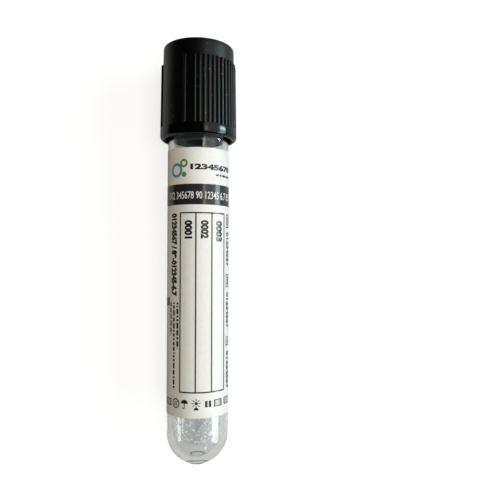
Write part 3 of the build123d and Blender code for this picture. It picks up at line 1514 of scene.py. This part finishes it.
class InkMarks:
    """Flat marks in one ink, drawn on the flat label and then wrapped as thin solids.

    Attributes:
        STRIP: Width of the strips that follow the label's round.
        NEAR: Points of the flat marks nearer to each other than this become one.
        RING_STEP: Angle between two points of a ring.
        DISC_STEPS: Points round a disc.
        PILL_STEPS: Chords round each corner of a pill.
        CURVE_STEPS: Chords in each curve of a figure.
    """

    STRIP = 0.24
    NEAR = 1e-5
    RING_STEP = 12
    DISC_STEPS = 40
    PILL_STEPS = 4
    CURVE_STEPS = 3

    def __init__(self, label: PaperLabel, lift: float = 0.008, thickness: float = 0.014) -> None:
        """Start with no marks.

        Args:
            label: The label that is printed.
            lift: Distance of the ink's underside above the paper.
            thickness: Thickness of the ink.
        """
        self.label = label
        self.lift = lift
        self.thickness = thickness
        self.flat = bmesh.new()

    def outline(self, points: Sequence[Point]) -> None:
        """Add a field from the corners of its outline, which has no hollows."""
        self.flat.faces.new([self.flat.verts.new((x, h, 0.0)) for x, h in points])

    def field(self, left: float, right: float, low: float, high: float) -> None:
        """Add a field with square corners."""
        self.outline([(left, low), (right, low), (right, high), (left, high)])

    def pill(self, left: float, right: float, low: float, high: float) -> None:
        """Add a field whose corners are rounded by a third of its smaller side.

        Args:
            left: Left edge.
            right: Right edge.
            low: Lower edge.
            high: Upper edge.
        """
        radius = min(right - left, high - low) / 3
        centres = (
            (right - radius, high - radius), (left + radius, high - radius),
            (left + radius, low + radius), (right - radius, low + radius),
        )
        points = []
        for start, centre in zip((0, 90, 180, 270), centres):
            points += arc(centre, radius, start, start + 90, self.PILL_STEPS)
        self.outline(points)

    def box(self, left: float, right: float, low: float, high: float, line: float) -> None:
        """Add the four lines of an empty box.

        Args:
            left: Left outside edge.
            right: Right outside edge.
            low: Lower outside edge.
            high: Upper outside edge.
            line: Width of the lines.
        """
        self.field(left, right, low, low + line)
        self.field(left, right, high - line, high)
        self.field(left, left + line, low + line, high - line)
        self.field(right - line, right, low + line, high - line)

    def ring(self, centre: Point, outer: float, inner: float, start: float = 0, end: float = 360) -> None:
        """Add a ring or a part of one.

        Args:
            centre: Its middle.
            outer: Its outside radius.
            inner: Its inside radius.
            start: Direction where it starts.
            end: Direction where it ends.
        """
        steps = max(4, round((end - start) / self.RING_STEP))
        outside = arc(centre, outer, start, end, steps)
        inside = arc(centre, inner, start, end, steps)
        for i in range(steps):
            self.outline([outside[i], outside[i + 1], inside[i + 1], inside[i]])

    def disc(self, centre: Point, radius: float) -> None:
        """Add a round field."""
        self.outline(arc(centre, radius, 0, 360, self.DISC_STEPS)[:-1])

    def bar(self, start: Point, end: Point, width: float) -> None:
        """Add a straight bar.

        Args:
            start: Middle of its first end.
            end: Middle of its other end.
            width: Its width.
        """
        a, b = Vector(start), Vector(end)
        run = b - a
        side = Vector((-run.y, run.x)).normalized() * width / 2
        self.outline([tuple(a - side), tuple(b - side), tuple(b + side), tuple(a + side)])

    def figures(self, line: FigureLine) -> None:
        """Add a line of figures, fitted to its length and size.

        Args:
            line: The figures and their place.
        """
        curve = bpy.data.curves.new("figures", "FONT")
        curve.body = line.text
        curve.offset = line.weight
        curve.resolution_u = self.CURVE_STEPS
        maker = bpy.data.objects.new("figures", curve)
        bpy.context.scene.collection.objects.link(maker)
        mesh = bpy.data.meshes.new_from_object(maker)
        across = line.reading is Reading.ACROSS
        length = self.label.across(line.reach) if across else line.reach
        start = self.label.across(line.meridian)
        xs = [vertex.co.x for vertex in mesh.vertices]
        ys = [vertex.co.y for vertex in mesh.vertices]
        first, lowest = min(xs), min(ys)
        run = length / (max(xs) - first)
        rise = line.size / (max(ys) - lowest)
        for vertex in mesh.vertices:
            along, up = (vertex.co.x - first) * run, (vertex.co.y - lowest) * rise
            vertex.co.x = start + (along if across else up)
            vertex.co.y = line.height + (up if across else -along)
            vertex.co.z = 0.0
        self.flat.from_mesh(mesh)
        bpy.data.objects.remove(maker)
        bpy.data.curves.remove(curve)
        bpy.data.meshes.remove(mesh)

    def cut_to_strips(self) -> None:
        """Cut the flat marks along the tube into narrow strips, so that they can follow its round."""
        flat = self.flat
        bmesh.ops.remove_doubles(flat, verts=flat.verts, dist=self.NEAR)
        xs = [vertex.co.x for vertex in flat.verts]
        for cut in range(math.ceil(min(xs) / self.STRIP), math.floor(max(xs) / self.STRIP) + 1):
            parts = [*flat.verts, *flat.edges, *flat.faces]
            place = (cut * self.STRIP, 0, 0)
            bmesh.ops.bisect_plane(flat, geom=parts, dist=self.NEAR, plane_co=place, plane_no=(1, 0, 0))

    def piece(self, name: str, ink: Ink, *nodes: str) -> bpy.types.Object:
        """Wrap the marks on the label and dress them.

        Args:
            name: Name of the piece.
            ink: Finish of the ink.
            *nodes: Plain solids that it replaces.

        Returns:
            The piece.
        """
        self.cut_to_strips()
        shape = bmesh.new()
        high, low = {}, {}
        for vertex in self.flat.verts:
            x, h = vertex.co.x, vertex.co.y
            high[vertex] = shape.verts.new(self.label.wrap(x, h, self.lift + self.thickness))
            low[vertex] = shape.verts.new(self.label.wrap(x, h, self.lift))
        for face in self.flat.faces:
            shape.faces.new([high[vertex] for vertex in face.verts])
            shape.faces.new([low[vertex] for vertex in reversed(face.verts)])
        for edge in self.flat.edges:
            if len(edge.link_faces) == 1:
                a, b = edge.verts
                shape.faces.new((high[a], high[b], low[b], low[a]))
        self.flat.free()
        piece = make_object(name, shape)
        piece.data.materials.append(ink.material())
        dress(piece, "tube", "printing_ink", *nodes)
        return piece


@dataclass
class RuledForm:
    """Dark band right across the label, and the ruled form under it.

    Attributes:
        label: The label that is printed.
        band_bottom: Lower edge of the dark band.
        band_top: Upper edge of the dark band.
        bottom: Lower edge of the form.
        top: Upper edge of the form.
        left: Meridian of the form's left line.
        column_width: Distance from one line of the form to the next.
        heads: Figures at the head of each column, and their length.
        head_top: Upper end of these figures.
        head_size: Height of these figures.
        head_inset: Their distance from the column's left line, as a share of its width.
        weight: How much bolder than plain these figures are.
        line: Width of the form's lines.
    """

    label: PaperLabel
    band_bottom: float = 52.5
    band_top: float = 56.6
    bottom: float = 15.45
    top: float = 51.0
    left: float = -29.7
    column_width: float = 3.26
    heads: tuple[tuple[str, float], ...] = (("0001", 3.65), ("0002", 3.65), ("0003", 4.2))
    head_top: float = 49.4
    head_size: float = 1.6
    head_inset: float = 0.33
    weight: float = 0.06
    line: float = 0.27

    def draw(self, marks: InkMarks) -> None:
        """Add the band and the lines of the form.

        Args:
            marks: Marks that take them.
        """
        across = self.label.across
        marks.field(across(self.label.left), across(self.label.right), self.band_bottom, self.band_top)
        left = across(self.left)
        lines = [left + column * self.column_width for column in range(len(self.heads) + 1)]
        for low in (self.bottom, self.top - self.line):
            marks.field(left, lines[-1] + self.line, low, low + self.line)
        for x in lines:
            marks.field(x, x + self.line, self.bottom + self.line, self.top - self.line)

    def head_lines(self) -> Iterator[FigureLine]:
        """Go through the heads of the columns.

        Yields:
            The figures of each column.
        """
        for column, (text, length) in enumerate(self.heads):
            x = self.label.across(self.left) + (column + self.head_inset) * self.column_width
            meridian = self.label.meridian(x)
            yield FigureLine(
                text, meridian, self.head_top, length, self.head_size, Reading.DOWN, self.weight
            )


@dataclass
class SignRow:
    """Row of small signs under the form, and three boxed ones beside it.

    Attributes:
        label: The label that is printed.
        height: Height of the middle of the row.
        radius: Half the height of a sign.
        line: Width of the signs' lines.
        bar_width: Width of their bars and rays.
        half_steps: Chords round the cover.
        boxed: Meridians of the boxes with three bars.
        crossed: Meridian of the crossed ring.
        cover: Meridian of the cover.
        rays: Meridian of the disc with rays.
        pair: Meridian of the two upright boxes.
        side_edges: Meridians of the edges of the boxed signs beside the form.
        side_heights: Upper and lower edge of each of them.
    """

    label: PaperLabel
    height: float = 13.3
    radius: float = 0.95
    line: float = 0.23
    bar_width: float = 0.15
    half_steps: int = 18
    boxed: tuple[float, ...] = (-58.5, 44.5, 69.0)
    crossed: float = -37.3
    cover: float = -18.9
    rays: float = 2.5
    pair: float = 24.0
    side_edges: Pair = (67.4, 82.7)
    side_heights: tuple[Pair, ...] = ((50.9, 48.1), (38.7, 36.0), (26.0, 24.2))

    @property
    def box_half(self) -> float:
        """Half the height of the boxes, which are lower than the other signs."""
        return self.radius * 0.75

    def side_signs(self, marks: InkMarks) -> None:
        """Add the three boxed signs between the lines of figures beside the form.

        Args:
            marks: Marks that take them.
        """
        left, right = (self.label.across(meridian) for meridian in self.side_edges)
        middle = (left + right) / 2
        half_width, inset = 0.25, 0.45
        for high, low in self.side_heights:
            marks.box(left, right, low, high, self.line)
            marks.field(middle - half_width, middle + half_width, low + inset, high - inset)

    def boxed_signs(self, marks: InkMarks) -> None:
        """Add the boxes with three bars.

        Args:
            marks: Marks that take them.
        """
        half_width, bar_width, inset, bars = 1.0, 0.2, 0.3, (-0.62, -0.08, 0.46)
        low, high = self.height - self.box_half, self.height + self.box_half
        for x in (self.label.across(meridian) for meridian in self.boxed):
            marks.box(x - half_width, x + half_width, low, high, self.line)
            for left in (x + offset for offset in bars):
                marks.field(left, left + bar_width, low + inset, high - inset)

    def crossed_sign(self, marks: InkMarks) -> None:
        """Add the ring with a long bar and two short ones across it.

        Args:
            marks: Marks that take it.
        """
        x, h = self.label.across(self.crossed), self.height
        inside, bar_share, short_width = self.radius - self.line, 0.97, 0.2
        marks.ring((x, h), self.radius, inside)
        reach = inside * math.sqrt(0.5) * bar_share
        marks.bar((x - reach, h - reach), (x + reach, h + reach), self.bar_width)
        for start, end in (((-0.05, 0.42), (-0.34, 0.02)), ((0.3, -0.08), (0.03, -0.45))):
            marks.bar((x + start[0], h + start[1]), (x + end[0], h + end[1]), short_width)

    def cover_sign(self, marks: InkMarks) -> None:
        """Add the half disc on a stem with a hook at its foot.

        Args:
            marks: Marks that take it.
        """
        x = self.label.across(self.cover)
        rim, foot = self.height + 0.1, self.height - 0.62
        cover_r, stem, hook = self.radius * 0.8, 0.09, 0.2
        marks.outline(arc((x, rim), cover_r, 0, 180, self.half_steps))
        marks.field(x - stem, x + stem, foot, rim)
        marks.ring((x - hook, foot), hook + stem, hook - stem, 180, 360)

    def ray_sign(self, marks: InkMarks) -> None:
        """Add the disc with rays over a small mound.

        Args:
            marks: Marks that take it.
        """
        x = self.label.across(self.rays)
        middle = Vector((x, self.height + 0.2))
        disc_r, ray_start, ray_end, ray_step = 0.3, 0.42, 0.92, 45
        mound_r, mound_foot, mound_steps = 0.5, self.height - self.radius - 0.15, 12
        marks.disc(tuple(middle), disc_r)
        for turn in range(0, 360, ray_step):
            ray = Vector((math.cos(math.radians(turn)), math.sin(math.radians(turn))))
            marks.bar(tuple(middle + ray * ray_start), tuple(middle + ray * ray_end), self.bar_width)
        marks.outline(arc((x, mound_foot), mound_r, 0, 180, mound_steps))

    def pair_sign(self, marks: InkMarks) -> None:
        """Add the two upright boxes.

        Args:
            marks: Marks that take them.
        """
        x, width, starts = self.label.across(self.pair), 0.5, (-0.62, 0.14)
        half_height = self.box_half - 0.1
        low, high = self.height - half_height, self.height + half_height
        for left in (x + start for start in starts):
            marks.box(left, left + width, low, high, self.line)

    def draw(self, marks: InkMarks) -> None:
        """Add every sign.

        Args:
            marks: Marks that take them.
        """
        self.side_signs(marks)
        self.boxed_signs(marks)
        self.crossed_sign(marks)
        self.cover_sign(marks)
        self.ray_sign(marks)
        self.pair_sign(marks)


@dataclass
class SmallLines:
    """Lines of small dashes where a label has its small words.

    Attributes:
        label: The label that is printed.
        columns: Meridian and length of each line that runs down.
        top: Upper end of these lines.
        width: Width of these lines.
        dashes: Shortest and longest dash.
        gap: Distance between two dashes.
        row: Meridian where the short line under the serial number starts.
        row_dashes: Lengths of its dashes.
        row_heights: Its lower and upper edge.
        row_gap: Distance between two of its dashes.
        patch_edges: Meridians of the edges of the dark patch.
        patch_heights: Lower and upper edge of the dark patch.
        seed: Start of the random draws.
    """

    label: PaperLabel
    columns: tuple[Pair, ...] = ((-54.5, 6.4), (-45.4, 17.2), (-36.6, 9.1))
    top: float = 33.1
    width: float = 0.5
    dashes: Pair = (0.3, 1.25)
    gap: float = 0.22
    row: float = 38.0
    row_dashes: tuple[float, ...] = (0.8, 0.5, 1.1, 0.7, 0.9)
    row_heights: Pair = (58.3, 58.72)
    row_gap: float = 0.2
    patch_edges: Pair = (-82.0, -57.0)
    patch_heights: Pair = (32.4, 34.0)
    seed: int = 5

    def draw(self, marks: InkMarks) -> None:
        """Add the dashes and the dark patch.

        Args:
            marks: Marks that take them.
        """
        draw = random.Random(self.seed)
        for meridian, length in self.columns:
            left = self.label.across(meridian)
            height, low = self.top, self.top - length
            while height > low:
                dash = min(draw.uniform(*self.dashes), height - low)
                marks.pill(left, left + self.width, height - dash, height)
                height -= dash + self.gap
        left = self.label.across(self.row)
        for dash in self.row_dashes:
            marks.pill(left, left + dash, *self.row_heights)
            left += dash + self.row_gap
        edges = [self.label.across(meridian) for meridian in self.patch_edges]
        marks.field(*edges, *self.patch_heights)


@dataclass
class LabelPrint:
    """Print of the label: dark band, ruled form, figures, rings and simple signs.

    Attributes:
        label: The label that is printed.
        serial: Large figures beside the rings.
        side_lines: Lines of figures beside the form.
        band_line: White figures on the dark band.
        band_lift: Distance of the white ink above the paper, over the dark ink.
        band_ink: Thickness of the white ink.
        blue_ring: Large ring beside the serial number.
        green_ring: Small ring above it.
        green_disc: Disc under that.
        black: Ink of the band, the form, the figures and the signs.
        white: Ink of the figures on the band.
        blue: Ink of the large ring.
        green: Ink of the small ring and the disc.
    """

    label: PaperLabel
    serial: FigureLine = FigureLine("12345678", -9.5, 59.4, 90, 1.2, Reading.ACROSS, 0.06)
    side_lines: tuple[FigureLine, ...] = (
        FigureLine("01234567 / 89-012345-6.7", -51.5, 50.85, 16.5, 1.75, Reading.DOWN, 0.075),
        FigureLine("01234567", 68.5, 47.3, 7.1, 1.5, Reading.DOWN, 0.05),
        FigureLine("01234567", 68.5, 35.0, 7.4, 1.5, Reading.DOWN, 0.05),
        FigureLine("01234567", 68.5, 23.1, 7.7, 1.5, Reading.DOWN, 0.05),
    )
    band_line: FigureLine = FigureLine(
        "012 345678 90 12345 6.7 8.9", -59, 53.62, 139, 1.5, Reading.ACROSS, 0.012
    )
    band_lift: float = 0.024
    band_ink: float = 0.006
    blue_ring: Ring = Ring(-38.0, 59.4, 1.45, 0.95)
    green_ring: Ring = Ring(-22.0, 60.75, 0.85, 0.42)
    green_disc: Ring = Ring(-21.5, 58.5, 0.5)
    black: Ink = Ink("black_ink", (0.021, 0.022, 0.026))
    white: Ink = Ink("white_ink", (0.8, 0.8, 0.78), roughness=0.4, unevenness=0.04)
    blue: Ink = Ink("blue_ink", (0.055, 0.27, 0.42), roughness=0.35)
    green: Ink = Ink("green_ink", (0.13, 0.26, 0.03), roughness=0.35)

    def ring_marks(self, *rings: Ring) -> InkMarks:
        """Draw rings and discs.

        Args:
            *rings: The rings, and the discs whose inner radius is 0.

        Returns:
            The marks.
        """
        marks = InkMarks(self.label)
        for ring in rings:
            centre = (self.label.across(ring.meridian), ring.height)
            if ring.inner:
                marks.ring(centre, ring.outer, ring.inner)
            else:
                marks.disc(centre, ring.outer)
        return marks

    def rings(self) -> None:
        """Print the plain coloured rings beside the serial number."""
        self.ring_marks(self.blue_ring).piece("printed_blue_ring", self.blue)
        green = self.ring_marks(self.green_ring, self.green_disc)
        green.piece("printed_green_ring_and_disc", self.green)

    def build(self) -> None:
        """Print every part of the label."""
        form = RuledForm(self.label)
        ruling, figures = InkMarks(self.label), InkMarks(self.label)
        form.draw(ruling)
        ruling.piece("printed_band_and_form", self.black, "label_print")
        for line in (self.serial, *form.head_lines(), *self.side_lines):
            figures.figures(line)
        figures.piece("printed_figures", self.black)
        on_band = InkMarks(self.label, self.band_lift, self.band_ink)
        on_band.figures(self.band_line)
        on_band.piece("printed_band_figures", self.white)
        self.rings()
        small, signs = InkMarks(self.label), InkMarks(self.label)
        SmallLines(self.label).draw(small)
        small.piece("printed_small_lines", self.black)
        SignRow(self.label).draw(signs)
        signs.piece("printed_signs", self.black)


# ---- Studio ------------------------------------------------------------------------------


class Shows(Enum):
    """Where the light of a lamp shows."""

    ON_MATT = "on matt surfaces"
    IN_SHINE = "mirrored in shiny surfaces and in the walls of clear ones"
    THROUGH_CLEAR = "only in the walls of clear pieces"


@dataclass(frozen=True)
class Lamp:
    """A soft rectangular lamp that faces the middle of the object.

    Attributes:
        name: Name of the lamp.
        lean: Angle from straight above toward +X.
        distance: Distance from the object's middle, in metres.
        width: Size across the tube, in metres.
        length: Size along the tube, in metres.
        level: Brightness that it gives a white surface facing it.
        colour: Colour of its light.
        shows: Where its light shows.
        swing: Shift along the tube, in metres.
    """

    name: str
    lean: float
    distance: float
    width: float
    length: float
    level: float
    colour: Colour
    shows: Shows
    swing: float = 0.0

    def build(self, middle: Vector) -> None:
        """Hang the lamp.

        Args:
            middle: Point that the lamp faces, in metres.
        """
        light = bpy.data.lights.new(self.name, "AREA")
        light.shape = "RECTANGLE"
        light.size = self.width
        light.size_y = self.length
        light.energy = self.level * math.pi**2 * self.distance**2
        light.color = self.colour
        lamp = bpy.data.objects.new(self.name, light)
        turn = math.radians(self.lean)
        outward = Vector((math.sin(turn), 0.0, math.cos(turn)))
        along = Vector((0.0, 1.0, 0.0))
        axes = Matrix((along.cross(outward), along, outward)).transposed()
        place = middle + outward * self.distance + along * self.swing
        lamp.matrix_world = Matrix.Translation(place) @ axes.to_4x4()
        lamp.visible_camera = False
        lamp.visible_diffuse = self.shows is Shows.ON_MATT
        lamp.visible_glossy = self.shows is Shows.IN_SHINE
        lamp.visible_transmission = self.shows is not Shows.ON_MATT
        bpy.context.scene.collection.objects.link(lamp)


@dataclass(frozen=True)
class TubeCamera:
    """Camera that looks down on the lying tube.

    Attributes:
        sideways: Distance from the axis toward meridian 90.
        along: Height along the axis.
        upward: Distance from the axis toward meridian 0.
        lens: Focal length, in millimetres.
        pitch: Turn about the sideways direction.
        yaw: Turn about the tube's axis.
        roll: Turn about the line of sight.
        sensor: Width of the sensor, in millimetres.
        nearest: Distance from which it sees things, in metres.
    """

    sideways: float = 10.0
    along: float = 40.6
    upward: float = 114.5
    lens: float = 39.6
    pitch: float = -1.54
    yaw: float = 0.4
    roll: float = -0.08
    sensor: float = 36.0
    nearest: float = 0.005

    def build(self, axis: TubeAxis) -> None:
        """Make it the scene's camera.

        Args:
            axis: The tube's axis.
        """
        camera = bpy.data.objects.new("camera", bpy.data.cameras.new("camera"))
        camera.data.lens = self.lens
        camera.data.sensor_width = self.sensor
        camera.data.clip_start = self.nearest
        basis = Matrix((axis.sideways, axis.along, axis.upward)).transposed()
        inward = Matrix.Identity(3)
        for angle, name in ((self.roll, "Z"), (self.pitch, "X"), (self.yaw, "Y")):
            inward = inward @ Matrix.Rotation(math.radians(angle), 3, name)
        place = axis.tip + basis @ (Vector((self.sideways, self.along, self.upward)) * MM)
        camera.matrix_world = Matrix.Translation(place) @ (basis @ inward.transposed()).to_4x4()
        bpy.context.scene.collection.objects.link(camera)
        bpy.context.scene.camera = camera


@dataclass
class Studio:
    """Pale floor, pale surroundings and soft lamps.

    Attributes:
        floor_size: Length of the floor's sides, in metres.
        floor_drop: How far the floor is below the object, in metres.
        floor_grey: Grey of the floor near the object, as its light falls on the object.
        far_grey: The same far from the object.
        fade: Where the first grey ends and where the second one starts, in metres.
        fade_stretch: Factors on those distances along X, Y and Z.
        seen_grey: Grey that takes the object's shadow, as the camera sees it.
        glow: Brightness that the floor has to the camera beside that grey.
        clear_share: Share of the glow that shows through clear pieces.
        shiny_share: Share of the glow that shiny pieces mirror.
        world_level: Light of the surroundings.
        lamps: The lamps.
    """

    floor_size: float = 6.0
    floor_drop: float = 0.00002
    floor_grey: float = 0.6
    far_grey: float = 0.1
    fade: Pair = (0.03, 0.12)
    fade_stretch: Triple = (1.0, 0.5, 1.0)
    seen_grey: float = 0.45
    glow: float = 0.74
    clear_share: float = 0.18
    shiny_share: float = 0.02
    world_level: float = 0.012
    lamps: Sequence[Lamp] = (
        Lamp("fill", -22, 1.2, 1.0, 1.4, 0.19, (1.14, 1.0, 0.72), Shows.ON_MATT),
        Lamp("key", 18, 1.0, 0.5, 1.0, 0.43, (1.0, 1.0, 0.93), Shows.ON_MATT),
        Lamp("side", 62, 0.9, 0.4, 1.0, 0.74, (0.93, 1.0, 1.06), Shows.ON_MATT),
        Lamp("panel", 50, 0.6, 0.64, 0.9, 0.4, (0.96, 1.0, 1.01), Shows.IN_SHINE),
        Lamp("low_panel", 50, 0.6, 0.64, 0.3, 0.14, (0.98, 1.0, 1.0), Shows.IN_SHINE, swing=-0.3),
        Lamp("strip", 27, 0.62, 0.1, 0.27, 0.039, (1.2, 1.0, 0.52), Shows.IN_SHINE, swing=0.065),
        Lamp("window", 82, 0.6, 0.23, 0.52, 0.6, (0.86, 1.0, 1.02), Shows.IN_SHINE, swing=-0.14),
        Lamp("upper_pane", 82, 0.6, 0.23, 0.052, 0.234, (0.7, 1.0, 1.08), Shows.IN_SHINE, swing=0.184),
        Lamp("card", -82, 0.6, 0.2, 0.44, 0.44, (0.94, 1.0, 1.0), Shows.THROUGH_CLEAR, swing=-0.12),
    )

    def floor_paint(self) -> bpy.types.Material:
        """Make the floor's material, which is white to the camera outside the object's shadow.

        Returns:
            The new material.
        """
        sheet = NodeSheet("pale_floor")
        rays = sheet.add("ShaderNodeLightPath").outputs
        share = rays["Is Camera Ray"]
        for kind, part in (("Is Transmission Ray", self.clear_share), ("Is Glossy Ray", self.shiny_share)):
            share = sheet.calculate("MULTIPLY_ADD", rays[kind], part, share, clamp=True)
        strength = sheet.calculate("MULTIPLY", share, self.glow)
        place = sheet.add("ShaderNodeTexCoord").outputs["Object"]
        stretched = sheet.add("ShaderNodeMapping", place, Scale=self.fade_stretch).outputs[0]
        length = sheet.add("ShaderNodeVectorMath", stretched, settings={"operation": "LENGTH"})
        near, far = (self.floor_grey,) * 3, (self.far_grey,) * 3
        fading = sheet.between(length.outputs["Value"], near, far, *self.fade)
        plain = sheet.add("ShaderNodeBsdfDiffuse", fading)
        shaded = sheet.add("ShaderNodeBsdfDiffuse", (self.seen_grey,) * 3 + (1.0,))
        matt = sheet.add("ShaderNodeMixShader", rays["Is Camera Ray"], plain.outputs[0], shaded.outputs[0])
        glow = sheet.add("ShaderNodeEmission", (1.0, 1.0, 1.0, 1.0), strength)
        return sheet.finish(sheet.add("ShaderNodeAddShader", matt.outputs[0], glow.outputs[0]))

    def build_floor(self) -> None:
        """Lay the floor."""
        shape = bmesh.new()
        bmesh.ops.create_grid(shape, x_segments=4, y_segments=4, size=self.floor_size / 2)
        floor = make_object("floor", shape)
        floor.location.z = -self.floor_drop
        floor.data.materials.append(self.floor_paint())
        floor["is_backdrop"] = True

    def build_world(self) -> None:
        """Light the surroundings dimly, but show them white to the camera."""
        world = bpy.data.worlds.new("surroundings")
        world.use_nodes = True
        tree = world.node_tree
        background = tree.nodes["Background"]
        rays = tree.nodes.new("ShaderNodeLightPath").outputs
        levels = tree.nodes.new("ShaderNodeMapRange")
        levels.inputs["To Min"].default_value = self.world_level
        levels.inputs["To Max"].default_value = 1.0
        tree.links.new(rays["Is Camera Ray"], levels.inputs["Value"])
        tree.links.new(levels.outputs[0], background.inputs["Strength"])
        background.inputs["Color"].default_value = (1.0, 1.0, 1.0, 1.0)
        bpy.context.scene.world = world

    def build(self, middle: Vector) -> None:
        """Set up the floor, the surroundings and the lamps.

        Args:
            middle: Middle of the object, in metres.
        """
        self.build_floor()
        self.build_world()
        for lamp in self.lamps:
            lamp.build(middle)
        bpy.context.scene.view_settings.view_transform = "Standard"


# ---- The whole object --------------------------------------------------------------------


def main() -> None:
    """Build every piece, then the studio and the camera."""
    logging.basicConfig(level=logging.INFO, format="%(name)s: %(message)s")
    tube_r, tube_length, pool_gap = 6.25, 75.0, 0.03
    axis = TubeAxis.of_resting_tube(frame["joints"][0]["axis"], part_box("tube")[0], tube_r)
    bore = Bore(mouth=tube_length, mouth_r=5.27, draft=0.45, floor=1.45)
    ClearTube(axis, tube_length, tube_r, bore).build(ClearPlastic())
    stopper = Stopper(axis, bore)
    pool_top = tube_length - stopper.plug_length - pool_gap
    Additive(axis, bore, pool_top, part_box("citrate_solution")[1].z).build(Water(), PaintedGlint())
    stopper.build(DarkRubber())
    shell = ClosureShell(axis, tube_length, stopper.head_top)
    polished = BlackPlastic("polished_black_plastic", roughness=0.13, dust_share=0.05)
    shell.build(BlackPlastic(), polished)
    label = PaperLabel(axis, tube_r)
    label.build(LabelPaper())
    LabelPrint(label).build()
    TubeCamera().build(axis)
    Studio().build((CAD_BOX[0] + CAD_BOX[1]) / 2)


def write_sizes() -> None:
    """Work out the solids' box and the dressed object's box."""
    boxes = [[list(corner) for corner in box] for box in (CAD_BOX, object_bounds())]


if __name__ == "__main__":
    main()
    write_sizes()
